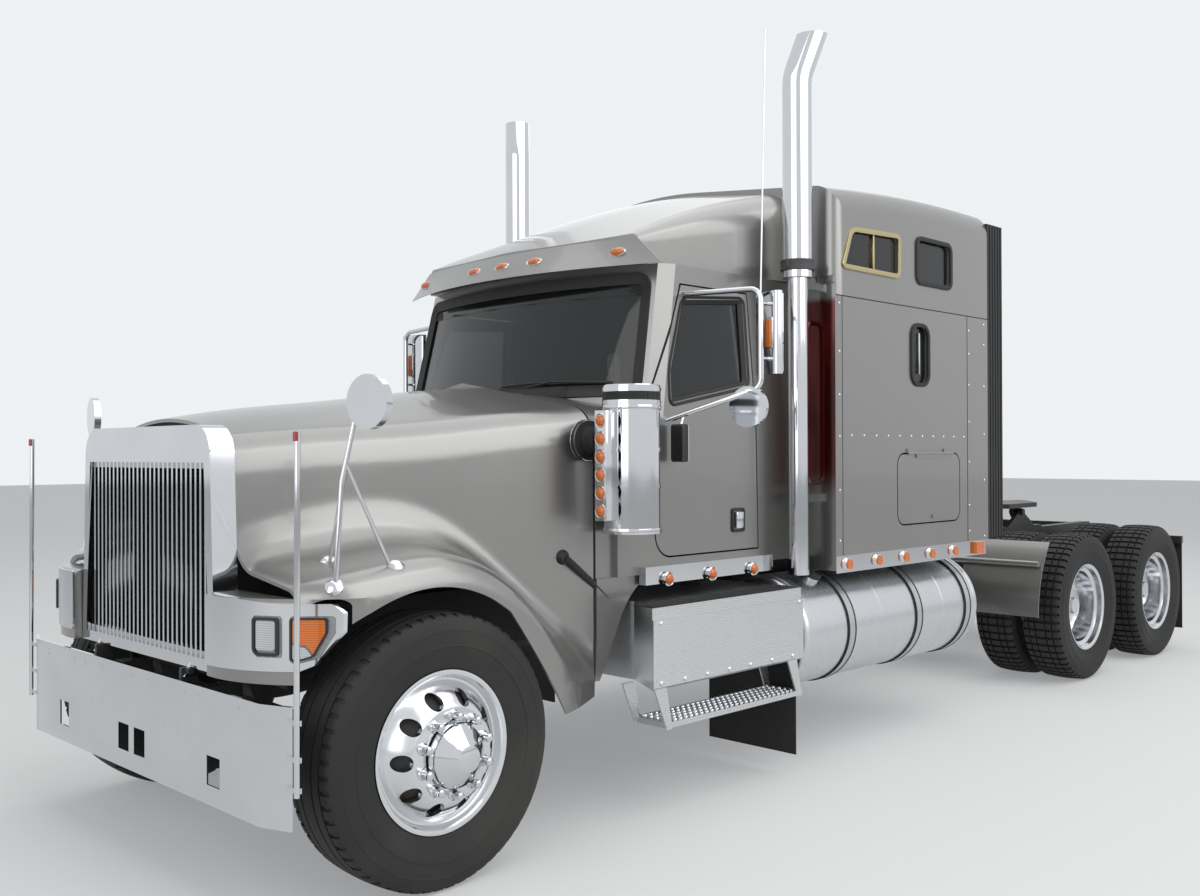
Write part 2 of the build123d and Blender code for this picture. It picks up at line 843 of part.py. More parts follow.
write("headlamp_bezels", both_sides(headlamp_bezel()))
write("headlamp_lenses", both_sides(lamp_lenses()))
write("hood_mirrors", both_sides(hood_mirror()))


# Cab


def cab_plan(half, corner_x, corner_y, centre_y, side_y, rear_y):
    """Level section of the cab's upper part, its front the bowed windshield."""
    edge = [
        Line((half, rear_y), (half, side_y)),
        Line((half, side_y), (corner_x, corner_y)),
        ThreePointArc((corner_x, corner_y), (0, centre_y), (-corner_x, corner_y)),
        Line((-corner_x, corner_y), (-half, side_y)),
        Line((-half, side_y), (-half, rear_y)),
        Line((-half, rear_y), (half, rear_y)),
    ]
    return make_face(edge)


# Windshield at the waist and at the roof: corner x, corner y, middle y, y where the side begins
cab_front = ((905, 1330, 1120, 1405), (860, 1480, 1335, 1555))


def cab_upper(inset, front_inset, low=cab_waist_z, high=cab_roof_z, rear=cab_rear_y):
    """Straight-sided loft from the waist to the roof line."""
    levels = []
    for z, half, (corner_x, *front) in zip((low, high), (cab_half, cab_roof_half), cab_front):
        plan = cab_plan(half - inset, corner_x - inset, *(y + front_inset for y in front), rear)
        levels.append(Plane.XY.offset(z) * plan)
    return loft(levels, ruled=True)


def cowl():
    """The hood's rear section carried on to the windshield."""
    _, side, shoulder, crown, _, _, _, _, _ = hood_stations[-1]
    face = outline([(side, 1100), (side, shoulder), (0, crown), (-side, shoulder), (-side, 1100)])
    corners = face.vertices().sort_by(Axis.Y)
    face = fillet(corners[2:4], shoulder_radius)
    return extrude(Plane.XZ.offset(-1440) * face, 1440 - cab_front_y)


def door_outline(gap):
    """Side view of the door, its front edge following the windshield pillar."""
    points = [
        (door_front_y + gap, door_bottom_z + gap),
        (door_rear_y - gap, door_bottom_z + gap),
        (door_rear_y - 30 - gap, door_top_z - gap),
        (1575 + gap * 1.2, door_top_z - gap),
        (door_front_y + gap, 1830),
    ]
    face = outline(points)
    low = face.vertices().group_by(Axis.Y)[0].sort_by(Axis.X)
    face = fillet(low[0], door_corner_radius - gap)
    return face


def door_prism(gap):
    return extrude(Plane.YZ.offset(700) * door_outline(gap), 400)


def window_prism(gap):
    """The door's window opening, smaller by gap."""
    points = [
        (1470 + gap, 1828 + gap),
        (2053 - gap, 1935 + gap),
        (2050 - gap, 2362 - gap),
        (1590 + gap, 2322 - gap),
        (1475 + gap, 1980 + gap),
    ]
    return extrude(Plane.YZ.offset(700) * outline(points), 400)


def windshield_prism(gap):
    z0, z1 = 1880 + gap, 2430 - gap
    face = fillet(outline([(gap - 855, z0), (855 - gap, z0), (818 - gap, z1), (gap - 818, z1)]).vertices(), 60)
    return extrude(Plane.XZ.offset(-1600) * face, 600)


def cab_outer():
    lower = box(-cab_half, cab_half, 1100, cab_rear_y, cab_floor_z, cab_waist_z)
    front = box(-930, 930, cab_front_y, 1100, cab_floor_z, 1700)
    return lower + front + cab_upper(0, 0)


def cab_inner():
    rear = cab_rear_y + 10
    inner = cab_half - cab_side_wall
    lower = box(-inner, inner, 1140, rear, cab_floor_z + 40, cab_waist_z + 1)
    return lower + cab_upper(cab_side_wall, cab_front_wall, cab_waist_z, cab_roof_z - 35, rear)


cab_solid = cab_outer()
cab_hollow = cab_inner()


def cab_shell():
    shell = cab_solid + cowl() - cab_hollow
    door = door_prism(0)
    shell = shell - door - other_side(door) - windshield_prism(0)
    hinge = door_hinge(True)
    shell = shell + hinge + other_side(hinge)
    return [shell] + both_sides(skirt())


hinge_x = cab_half + 10
hinge_y = door_front_y + 4
hinge_z = (1260, 1700)
hinge_radius = 10.4
hinge_pin_radius = 5
hinge_pin_gap = 0.4
hinge_half = 35


def door_hinge(fixed):
    """Barrels of the two door hinges, below on the cab with the pin, above on the door."""
    x, y, half = hinge_x, hinge_y, hinge_half
    pieces = None
    for z in hinge_z:
        if fixed:
            barrel = rod((x, y, z - half), (x, y, z), hinge_radius)
            barrel += box(cab_half - 6, x, y - 45, y, z - half, z)
            barrel -= box(cab_half - 60, cab_half + 1, y - 5, y + 30, z - 60, z + 60)
            barrel += rod((x, y, z - half), (x, y, z + half), hinge_pin_radius)
        else:
            low, high = z + seat_gap, z + half
            barrel = rod((x, y, low), (x, y, high), hinge_radius)
            barrel += box(cab_half - 6, x, y, y + 45, low, high)
            barrel -= box(cab_half - 60, cab_half + 1, y - 30, y + 6, z - 60, z + 60)
            barrel -= rod((x, y, z - 50), (x, y, z + 50), hinge_pin_radius + hinge_pin_gap)
        pieces = barrel if pieces is None else pieces + barrel
    return pieces


def door():
    """Left door: the wall inside the door's outline, with its window cut and hinge leaves."""
    wall = (cab_solid & door_prism(panel_gap)) - cab_hollow
    wall -= window_prism(0)
    handle = box(cab_half - 2, cab_half + 16, 1925, 1985, 1225, 1300)
    return wall + handle + door_hinge(False)


def pane_sheet(low_inset):
    """A thin skin inside the cab's outer surface."""
    outer = cab_upper(low_inset, low_inset)
    inner = cab_upper(low_inset + pane_thickness, low_inset + pane_thickness, cab_waist_z - 1, cab_roof_z + 1)
    return outer - inner


def door_pane():
    return pane_sheet(22) & window_prism(seat_gap)


def glazing():
    panes = [pane_sheet(14) & windshield_prism(seat_gap)]
    for face in sleeper_windows(seat_gap):
        pane = extrude(Plane.YZ.offset(sleeper_half - 20) * face, pane_thickness)
        panes += both_sides(pane)
    return panes


# Panes in the sleeper's side: corner radius and (y, z) corners, anticlockwise from the lower front
sleeper_panes = (
    (30, ((2520, 2560), (3058, 2560), (3062, 2765), (2600, 2745))),
    (40, ((3270, 2550), (3640, 2550), (3640, 2785), (3270, 2785))),
    (60, ((3205, 1975), (3380, 1975), (3380, 2300), (3205, 2300))),
)


def sleeper_windows(gap):
    """Faces of the three panes in the sleeper's side, smaller by gap."""
    faces = []
    for corner, ((y0, z0), (y1, z1), (y2, z2), (y3, z3)) in sleeper_panes:
        points = [(y0 + gap, z0 + gap), (y1 - gap, z1 + gap), (y2 - gap, z2 - gap), (y3 + gap, z3 - gap)]
        faces.append(fillet(outline(points).vertices(), corner - gap))
    return faces


def skirt():
    """Fixed panel behind the hood's skirt, its rear edge curving back to the sill."""
    top = cab_floor_z - seat_gap
    edge = [
        Line((984, top), (984, hood_pin_z)),
        Line((984, hood_pin_z), (973, 600)),
        Line((973, 600), (1002, 600)),
        Line((1002, 600), (1124, 837)),
        ThreePointArc((1124, 837), (1210, 965), (1340, top)),
        Line((1340, top), (984, top)),
    ]
    return extrude(Plane.YZ.offset(cab_half - 33) * make_face(edge), 18)


write("cab_shell", cab_shell())
left_door = door()
left_pane = door_pane()
write("door_left", left_door)
write("door_right", other_side(left_door))
write("door_pane_left", left_pane)
write("door_pane_right", other_side(left_pane))


visor_sheet = 8
# Visor edges in plan: tip x, tip y, middle y
visor_low_y = (962, 1392, 1190)
visor_top_y = (1398, 1299)
visor_top_x = 800


def visor_edge(tip_x, tip_y, middle_y):
    """A thin bowed strip across the truck."""
    back = visor_sheet
    return make_face([
        ThreePointArc((-tip_x, tip_y), (0, middle_y), (tip_x, tip_y)),
        Line((tip_x, tip_y), (tip_x, tip_y + back)),
        ThreePointArc((tip_x, tip_y + back), (0, middle_y + back), (-tip_x, tip_y + back)),
        Line((-tip_x, tip_y + back), (-tip_x, tip_y)),
    ])


def visor():
    """Drooping sun visor across the windshield's top."""
    low = visor_edge(*visor_low_y)
    high = visor_edge(visor_top_x, *visor_top_y)
    return loft([Plane.XY.offset(2472) * low, Plane.XY.offset(2612) * high], ruled=True)


# Roof stations: y, half-width, corner z, crown z, base z
roof_stations = (
    (1300, 800, 2585, 2625, cab_roof_z),
    (1950, 860, 2830, 2930, cab_roof_z),
    (2460, 930, 2960, 3085, cab_roof_z),
)
sleeper_roof_stations = (
    (2460, sleeper_half, 2962, 3098, side_top_z),
    (2900, sleeper_half, 3008, 3100, side_top_z),
    (sleeper_rear_y, sleeper_half, 3046, 3100, side_top_z),
)
cap_corner_radius = 140
cap_plan_radius = 70


def roof_section(station, inset, corner):
    y, half, shoulder, crown, base = station
    half = half - inset
    side_z, middle_z = shoulder - inset, crown - inset
    points = [(half, base), (half, side_z), (0, middle_z), (-half, side_z), (-half, base)]
    wire = FilletPolyline(*points, radius=[corner, 2500, corner])
    face = make_face(wire.edges() + Line(points[-1], points[0]).edges())
    return Plane((0, y, 0), x_dir=(1, 0, 0), z_dir=(0, -1, 0)) * face


def cap_plan(inset):
    """Upright prism of the sleeper cap's plan, its front corners rounded."""
    half, y0, y1 = sleeper_half - inset, cab_rear_y + 10 + inset, sleeper_rear_y - inset
    plan = outline([(-half, y0), (half, y0), (half, y1), (-half, y1)])
    plan = fillet(plan.vertices().group_by(Axis.Y)[0], cap_plan_radius - inset)
    return extrude(Plane.XY.offset(side_top_z - 20) * plan, 900)


def roof():
    """Moulded roof: a fairing rising over the cab and the sleeper's hollow cap."""
    thick = sleeper_wall
    low = [(y, h, s, c, b + seat_gap) for y, h, s, c, b in roof_stations]
    cap = [(y, h, s, c, b + seat_gap) for y, h, s, c, b in sleeper_roof_stations]
    corners = (20, 160, 200)
    fairing = loft([roof_section(s, 0, c) for s, c in zip(low, corners)])
    top = loft([roof_section(s, 0, cap_corner_radius) for s in cap]) & cap_plan(0)
    start = low[0][0]
    hollow = loft([
        roof_section((start + 205, 780, 2640, 2690, cab_roof_z - 10), thick, 40),
        roof_section((low[1][0], *low[1][1:4], cab_roof_z - 10), thick, 130),
        roof_section((cab_rear_y + 60, *low[2][1:4], cab_roof_z - 10), thick, 170),
    ])
    room = loft([
        roof_section((cab[0] + inset, *cab[1:4], side_top_z - 10), thick, cap_corner_radius - thick)
        for cab, inset in zip(cap, (thick, 0, -thick))
    ]) & cap_plan(thick)
    tip_y, middle_y = (y + visor_sheet + seat_gap for y in visor_top_y)
    bow = ((tip_y - middle_y) ** 2 + visor_top_x ** 2) / (2 * (tip_y - middle_y))
    wide = 880
    wide_y = middle_y + bow - math.sqrt(bow ** 2 - wide ** 2)
    front = make_face([
        ThreePointArc((-wide, wide_y), (0, middle_y), (wide, wide_y)),
        Line((wide, wide_y), (1300, wide_y)),
        Line((1300, wide_y), (1300, 900)),
        Line((1300, 900), (-1300, 900)),
        Line((-1300, 900), (-1300, wide_y)),
        Line((-1300, wide_y), (-wide, wide_y)),
    ])
    whole = fairing + top - room - hollow - extrude(Plane.XY.offset(2000) * front, 900)
    for face in sleeper_windows(0)[:2]:
        cut = extrude(Plane.YZ.offset(1100) * face, 200)
        whole = whole - cut - other_side(cut)
    return whole


write("sun_visor", visor())
write("roof", roof())
write("glazing", glazing())


# Sleeper


luggage_hinge = (sleeper_half + 8, luggage_z[1] - 3)


def luggage_outline(gap):
    (y0, y1), (z0, z1) = luggage_y, luggage_z
    face = outline([(y0 + gap, z0 + gap), (y1 - gap, z0 + gap), (y1 - gap, z1 - gap), (y0 + gap, z1 - gap)])
    return fillet(face.vertices(), 70 - gap)


def luggage_barrel(y0, y1):
    x, z = luggage_hinge
    return rod((x, y0, z), (x, y1, z), 7)


def luggage_door():
    """Panel as thick as the wall, hung on a pin along its top edge."""
    x, z = luggage_hinge
    y0, y1 = luggage_y
    panel = extrude(Plane.YZ.offset(sleeper_half - sleeper_wall) * luggage_outline(panel_gap), sleeper_wall)
    middle = luggage_barrel(y0 + 200, y1 - 200) + box(x - 9, x, y0 + 200, y1 - 200, z - 25, z)
    middle -= rod((x, y0, z), (x, y1, z), 3 + bearing_gap)
    latch_y, latch_z = (y0 + y1) / 2 + 55, luggage_z[0] + 39
    latch = box(sleeper_half - 2, sleeper_half + 8, latch_y - 35, latch_y + 35, latch_z - 9, latch_z + 9)
    return panel - rod((x, y0, z), (x, y1, z), 8.5) + middle + latch


def sleeper_shell():
    """Hollow sleeper box below the moulded cap, open to the cab in front."""
    front_y, wall = cab_rear_y + seat_gap, sleeper_wall
    body = box(-sleeper_half, sleeper_half, front_y, sleeper_rear_y, sleeper_floor_z, side_top_z)
    room = box(
        wall - sleeper_half, sleeper_half - wall,
        cab_rear_y + wall, sleeper_rear_y - wall,
        sleeper_floor_z + wall, side_top_z + 5,
    )
    body -= room
    doorway = cab_half - cab_side_wall
    body -= box(-doorway, doorway, front_y - 5, front_y + wall + 5, sleeper_floor_z + 60, side_top_z + 5)
    slot = extrude(Plane.YZ.offset(1100) * sleeper_windows(0)[2], 200)
    hatch = extrude(Plane.YZ.offset(1100) * luggage_outline(0), 200)
    for cut in (slot, hatch):
        body = body - cut - other_side(cut)
    x, z = luggage_hinge
    y0, y1 = luggage_y
    fixed = None
    for start, end in ((y0 + 100, y0 + 200 - seat_gap), (y1 - 200 + seat_gap, y1 - 100)):
        piece = luggage_barrel(start, end) + box(x - 9, x, start, end, z, z + 25)
        fixed = piece if fixed is None else fixed + piece
    fixed += rod((x, y0 + 100, z), (x, y1 - 100, z), 3)
    return body + fixed + other_side(fixed)


write("sleeper_shell", sleeper_shell())
hatch_panel = luggage_door()
write("luggage_door_left", hatch_panel)
write("luggage_door_right", other_side(hatch_panel))


corner_panel_y = cab_rear_y - 4
grab_x = 1076
grab_stand = 68
grab_z = (1440, 2262)


def corner_panel():
    """Polished panel on the sleeper's forward face, with an upright grab bar."""
    panel = box(1035, sleeper_half, corner_panel_y, cab_rear_y, 990, 2500)
    low, high = grab_z
    foot, out = cab_rear_y - 2, corner_panel_y - grab_stand
    return panel + tube([(grab_x, foot, low), (grab_x, out, low), (grab_x, out, high), (grab_x, foot, high)], 13, 40)


def rear_edge():
    """Upright ribbed seal behind the side panel."""
    y0 = sleeper_rear_y + seat_gap
    seal = box(sleeper_half - 30, sleeper_half, y0, y0 + 195, 1070, 2985)
    for index in range(5):
        y = y0 + 30 + index * 34
        seal -= box(sleeper_half - 6, sleeper_half + 5, y, y + 10, 1000, 3000)
    return seal


lamp_rail_y = (2455, 4070)
lamp_rail_z = (975, 1060)


def lamp_rail():
    return box(sleeper_half - 14, sleeper_half - 2, *lamp_rail_y, *lamp_rail_z) + box(
        sleeper_half - 60, sleeper_half - 2, *lamp_rail_y, lamp_rail_z[1] - 4, lamp_rail_z[1] + 1.7
    )


write("corner_panels", both_sides(corner_panel()))
write("rear_edges", both_sides(rear_edge()))


def marker_lamps():
    """Amber lamps on the lamp rails."""
    lamps = []
    for y in (2552, 2840, 3117, 3401, 3667):
        seat_x = sleeper_half - 2 + seat_gap
        lamps.append(rod((seat_x, y, 1018), (seat_x + 22, y, 1018), 26))
    lamps.append(box(sleeper_half - 2 + seat_gap, sleeper_half + 20, 3915, 4010, 985, 1055))
    return both_sides(lamps)


write("marker_lamps", marker_lamps())


# Outside fittings


def stack():
    """Tall exhaust pipe, curved out at its tip, with a slimmer lower pipe and clamp."""
    lower = rod((stack_x, stack_y, 975), (stack_x, stack_y, 2500), stack_low_radius)
    upper = tube(
        [(stack_x, stack_y, 2480), (stack_x, stack_y, 3500), (stack_x + 70, stack_y + 60, 3760)],
        stack_radius, 260,
    )
    upper -= box(stack_x - 300, stack_x + 400, stack_y - 300, stack_y + 400, stack_top_z, 4200)
    clamp = rod((stack_x, stack_y, 2520), (stack_x, stack_y, 2565), stack_radius + 8)
    pipe = lower + upper + clamp
    for z in (1340, 2430):
        pipe += box(stack_x - 12, stack_x + 12, stack_y, corner_panel_y - seat_gap, z, z + 40)
    return pipe


def air_cleaner():
    """Bright canister with a rain cap and an inlet boot towards the hood."""
    z0, z1 = cleaner_z
    can = rod((cleaner_x, cleaner_y, z0), (cleaner_x, cleaner_y, z1), cleaner_radius)
    for z in (1452, 1610, 1812, 1868):
        can += rod((cleaner_x, cleaner_y, z - 8), (cleaner_x, cleaner_y, z + 8), cleaner_radius + 4)
    can += rod((boot_x, boot_y, boot_z), (boot_x + 26, boot_y, boot_z), 88)
    can += rod((boot_x + 20, boot_y, boot_z), (cleaner_x, cleaner_y, boot_z), 52)
    can += box(cab_half + seat_gap, cleaner_x, 1110, 1150, 1400, 1440)
    can += box(cab_half + seat_gap, cleaner_x, 1110, 1150, 1750, 1790)
    return can


write("exhaust_stacks", both_sides(stack()))
write("air_cleaners", both_sides(air_cleaner()))


def fuel_tank():
    y0, y1 = tank_y
    tank = rod((tank_x, y0, tank_z), (tank_x, y1, tank_z), tank_radius)
    tank = fillet(tank.edges().filter_by(GeomType.CIRCLE), 30)
    cap_y = 2455
    return tank + rod((tank_x + 120, cap_y, tank_z + 240), (tank_x + 150, cap_y, tank_z + 290), 40)


def tank_strap(y):
    """Band round the tank with its bracket to the rail."""
    band = rod((tank_x, y - 28, tank_z), (tank_x, y + 28, tank_z), tank_radius + 6)
    bracket = prism_y(
        [
            (rail_outer_x + seat_gap, 460),
            (tank_x - 100, 380),
            (tank_x - 180, 700),
            (tank_x - 230, 900),
            (rail_outer_x + seat_gap, 940),
        ],
        y - 28, y + 28,
    )
    tank_space = rod((tank_x, y - 40, tank_z), (tank_x, y + 40, tank_z), tank_radius + seat_gap)
    return band + bracket - tank_space


write("fuel_tanks", both_sides(fuel_tank()))
write("tank_straps", both_sides([tank_strap(y) for y in strap_y]))


def step_box():
    """Battery box with a tread top and a lower step hung under it."""
    y0, y1 = box_y
    z0, z1 = box_z
    x2 = box_outer_x
    section = [
        (box_inner_x, z0), (x2 - 10, z0), (x2, z0 + 10), (x2, z1 - 50), (x2 - 14, z1 - 50), (x2 - 14, z1),
        (box_inner_x, z1),
    ]
    chest = prism_y(section, y0, y1)
    tyre_side = [(500, y0 - 10), (x2, y0 - 10), (x2, y0), (960, 1200), (500, 1200)]
    chest -= prism_z(tyre_side, z0 - 5, z1 + 5)
    for y in (1260, y1 - 100):
        chest += box(rail_outer_x + seat_gap, box_inner_x, y - 30, y + 30, 740, 900)
    for y in (y0 + 10, y1 - 125):
        low = step_z - 30
        plate = [(y, z0 + 5), (y + 75, z0 + 5), (y + 110, step_z), (y + 110, low), (y + 80, low)]
        chest += prism_x(plate, box_outer_x - 12, box_outer_x - 4) + prism_x(plate, 1000, 1008)
    chest += box(1000, box_outer_x - 4, y0 + 90, y1 - 5, step_z - 25, step_z)
    return chest


def kick_plate():
    """Bright sill under the door with three lamps."""
    plate = box(cab_half + seat_gap, cab_half + 40, 1240, 2190, 1000, 1080)
    for y in (1378, 1690, 2011):
        plate += rod((cab_half + 38, y, 1020), (cab_half + 58, y, 1020), 26)
    return plate


write("step_boxes", both_sides(step_box()))
write("lamp_rails", both_sides([lamp_rail(), kick_plate()]))


def quarter_fender():
    """Curved sheet ahead of the drive tyres on a cross tube from the rail."""
    x0, x1 = 620, 1180
    axle_y = rear_axle_y[0]
    outer_r, inner_r = 752, 746
    bar_y, bar_z = axle_y - 700, 850
    sheet = rod((x0, axle_y, hub_height), (x1, axle_y, hub_height), outer_r)
    sheet -= rod((x0 - 5, axle_y, hub_height), (x1 + 5, axle_y, hub_height), inner_r)
    sheet &= box(x0 - 1, x1 + 1, axle_y - 800, axle_y - 575, 505, 990)
    bar = rod((rail_outer_x + seat_gap, bar_y, bar_z), (x1 - 20, bar_y, bar_z), 20)
    for x in (x0 + 40, x1 - 40):
        bar += box(x - 15, x + 15, bar_y, bar_y + 45, bar_z - 10, bar_z + 10)
    return sheet + bar


def mud_flap():
    """Rear flap behind its hanger, and the short one behind the step box."""
    rear = box(580, 1180, flap_y, flap_y + 8, 150, 870)
    front = box(600, 1150, box_y[1] + seat_gap, box_y[1] + 7, 100, box_z[0] + 60)
    return [rear, front]


def tail_lamps():
    """Round lamps in a panel at the frame's end."""
    panel = box(2 - rail_outer_x, rail_outer_x - 2, rail_rear_y + seat_gap, rail_rear_y + 20, 790, 960)
    for x in (-300, -160, 160, 300):
        panel += rod((x, rail_rear_y + 15, 875), (x, rail_rear_y + 45, 875), 52)
    return panel


write("quarter_fenders", both_sides(quarter_fender()))
write("mud_flaps", both_sides(mud_flap()))
write("tail_lamps", tail_lamps())


# Fifth wheel


def fifth_base():
    """Brackets on the rails with the pivot pins."""
    pieces = None
    for sign in (-1, 1):
        x0, x1 = sorted((sign * 345, sign * 425))
        low, high = rail_top_z + seat_gap, fifth_pivot_z + 5
        side = [(fifth_y - 260, low), (fifth_y + 260, low), (fifth_y + 27, high), (fifth_y - 27, high)]
        ear = prism_x(side, *sorted((sign * 380, sign * 410)))
        foot = box(x0, x1, fifth_y - 330, fifth_y + 330, low, rail_top_z + 18)
        pin = rod((sign * 320, fifth_y, fifth_pivot_z), (sign * 430, fifth_y, fifth_pivot_z), 24)
        crown = rod((sign * 380, fifth_y, fifth_pivot_z), (sign * 410, fifth_y, fifth_pivot_z), 28)
        piece = ear + foot + pin + crown
        pieces = piece if pieces is None else pieces + piece
    return pieces


def fifth_plate():
    """Coupling plate with a throat that leads to the kingpin's seat."""
    half = 455
    shape = [
        (-half, fifth_y - 300), (-220, fifth_y - 420), (220, fifth_y - 420), (half, fifth_y - 300),
        (half, fifth_y + 180), (200, fifth_y + 520), (120, fifth_y + 520), (38, fifth_y + 130),
        (-38, fifth_y + 130), (-120, fifth_y + 520), (-200, fifth_y + 520), (-half, fifth_y + 180),
    ]
    plate = prism_z(shape, fifth_plate_z - 35, fifth_plate_z)
    housing = [(-180, fifth_y - 160), (180, fifth_y - 160), (120, fifth_y + 120), (-120, fifth_y + 120)]
    plate += prism_z(housing, fifth_plate_z - 75, fifth_plate_z - 30)
    plate -= rod((0, fifth_y, fifth_plate_z - 100), (0, fifth_y, fifth_plate_z + 5), kingpin_seat_radius)
    for sign in (-1, 1):
        y, z = fifth_y, fifth_pivot_z
        ear = rod((sign * 335, y, z), (sign * 372, y, z), 48)
        ear += box(*sorted((sign * 335, sign * 372)), y - 48, y + 48, z, fifth_plate_z - 5)
        ear -= rod((sign * 300, y, z), (sign * 440, y, z), 24 + bearing_gap)
        plate += ear
    return plate


write("fifth_wheel_base", fifth_base())
write("fifth_wheel_plate", fifth_plate())


# Mirrors on the doors


mirror_x = 1349
mirror_y = 1627


def door_mirror(with_aerial):
    """Bent tube frame from the door with a tall head, a round one below and a small pad."""
    arm = tube(
        [(880, 1590, 2350), (mirror_x, mirror_y, 2335), (mirror_x, mirror_y, 1890), (940, 1432, 1740)],
        13, 55,
    )
    head = Pos(mirror_x - 2, mirror_y + 66, 2137) * Rot(0, 0, -17) * Box(165, 45, 375)
    head = fillet(head.edges().filter_by(Axis.Z), 18)
    arm += head
    for z in (2020, 2270):
        arm += rod((mirror_x, mirror_y, z), (mirror_x, mirror_y + 60, z), 9)
    arm += Plane((1300, 1600, 1802), z_dir=(0.2, -1, 0)) * Cylinder(93, 24)
    arm += rod((mirror_x - 20, mirror_y - 2, 1880), (1300, 1600, 1802), 9)
    arm += box(985, 1060, 1425, 1465, 1560, 1720) + rod((1020, 1445, 1700), (1020, 1475, 1772), 8)
    if with_aerial:
        arm += rod((mirror_x, mirror_y, 2320), (mirror_x + 2, mirror_y + 40, 3517), 4)
    return arm - Pos(seat_gap, 0, 0) * cab_solid


write("mirror_left", door_mirror(True))
write("mirror_right", other_side(door_mirror(False)))


# Inside the cab


dash_rear_y = 1480


def dashboard():
    y0, y1 = 1140 + seat_gap, dash_rear_y
    return prism_x([(y0, 1400), (1300, 1400), (y1, 1560), (y1, 1690), (1400, 1755), (y0, 1755)], -860, 860)


def seat(x):
    cushion = box(x - 250, x + 250, 1720, 2200, 1420, 1560)
    back = prism_x([(2140, 1560), (2260, 1540), (2340, 2180), (2250, 2200)], x - 240, x + 240)
    base = box(x - 150, x + 150, 1800, 2150, cab_floor_z + 40 + seat_gap, 1420)
    return cushion + back + base


def steering_wheel():
    """Ring, spokes and column, standing off the dashboard."""
    centre = (480, 1610, 1760)
    lean = Plane(centre, z_dir=(0, 0.7, 1))
    wheel = lean * Torus(225, 16) + lean * Cylinder(60, 30) + lean * Box(440, 34, 14)
    column = rod(centre, (480, 1450, 1583), 28) - box(400, 560, 1300, dash_rear_y + seat_gap, 1400, 1755)
    return wheel + column


def bunk():
    floor = sleeper_floor_z + sleeper_wall + seat_gap
    return box(-1100, 1100, 3250, 4060, 1350, 1550) + box(-1100, 1100, 3280, 4060, floor, 1350)


write("dashboard", [dashboard(), steering_wheel()])
write("seats", [seat(-480), seat(480), bunk()])
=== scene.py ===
import math

import bmesh
import bpy
from mathutils import Matrix, Vector


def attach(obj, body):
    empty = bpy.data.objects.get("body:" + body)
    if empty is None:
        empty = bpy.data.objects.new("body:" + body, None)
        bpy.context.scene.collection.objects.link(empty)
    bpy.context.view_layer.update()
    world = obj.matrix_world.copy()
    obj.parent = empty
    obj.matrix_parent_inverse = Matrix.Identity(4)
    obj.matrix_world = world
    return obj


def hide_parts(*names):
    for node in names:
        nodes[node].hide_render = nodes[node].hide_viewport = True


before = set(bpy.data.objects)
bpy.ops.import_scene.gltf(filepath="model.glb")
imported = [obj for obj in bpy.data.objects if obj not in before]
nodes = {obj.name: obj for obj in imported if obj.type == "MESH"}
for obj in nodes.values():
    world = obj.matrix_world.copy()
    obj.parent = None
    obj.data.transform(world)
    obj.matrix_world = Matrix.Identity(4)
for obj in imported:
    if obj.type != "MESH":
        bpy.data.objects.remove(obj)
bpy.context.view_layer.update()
noseShift = -3.44  # places below are counted from the front axle, the frame from the middle of the length
print("frame loaded,", len(nodes), "nodes")


def at(x, y, z):
    return Vector((x, y + noseShift, z))


# Camera: the photograph's place, heading and lens
photoCamera = {
    "place": (4.5532, -2.6305, 1.5975),
    "heading": 44.8066,
    "rise": 0.2236,
    "roll": -0.2103,
    "lens": 35.131,
    "sensor": 36,
    "reach": 200,
}


def makeCamera(values):
    heading, rise, roll = (math.radians(values[key]) for key in ("heading", "rise", "roll"))
    ahead = Vector((-math.sin(heading) * math.cos(rise), math.cos(heading) * math.cos(rise), math.sin(rise)))
    level = Vector((math.cos(heading), math.sin(heading), 0))
    upward = level.cross(ahead)
    across = level * math.cos(roll) + upward * math.sin(roll)
    upward = upward * math.cos(roll) - level * math.sin(roll)
    place = at(*values["place"])
    camera = bpy.data.objects.new("photoCamera", bpy.data.cameras.new("photoCamera"))
    bpy.context.scene.collection.objects.link(camera)
    camera.data.sensor_width = values["sensor"]
    camera.data.lens = values["lens"]
    camera.data.clip_end = values["reach"]
    camera.matrix_world = Matrix((
        (across.x, upward.x, -ahead.x, place.x),
        (across.y, upward.y, -ahead.y, place.y),
        (across.z, upward.z, -ahead.z, place.z),
        (0, 0, 0, 1),
    ))
    bpy.context.scene.camera = camera


makeCamera(photoCamera)
print("camera set")


# Shader maths: a wire is a socket that takes part in sums
class Wire:
    def __init__(self, finish, socket):
        self.finish = finish
        self.socket = socket

    def maths(self, operation, *others):
        return self.finish.add("ShaderNodeMath", {"operation": operation}, dict(enumerate((self,) + others)))

    def __add__(self, other):
        return self.maths("ADD", other)

    def __sub__(self, other):
        return self.maths("SUBTRACT", other)

    def __mul__(self, other):
        return self.maths("MULTIPLY", other)

    def __rsub__(self, other):
        return self.maths("MULTIPLY", -1) + other

    __radd__ = __add__
    __rmul__ = __mul__


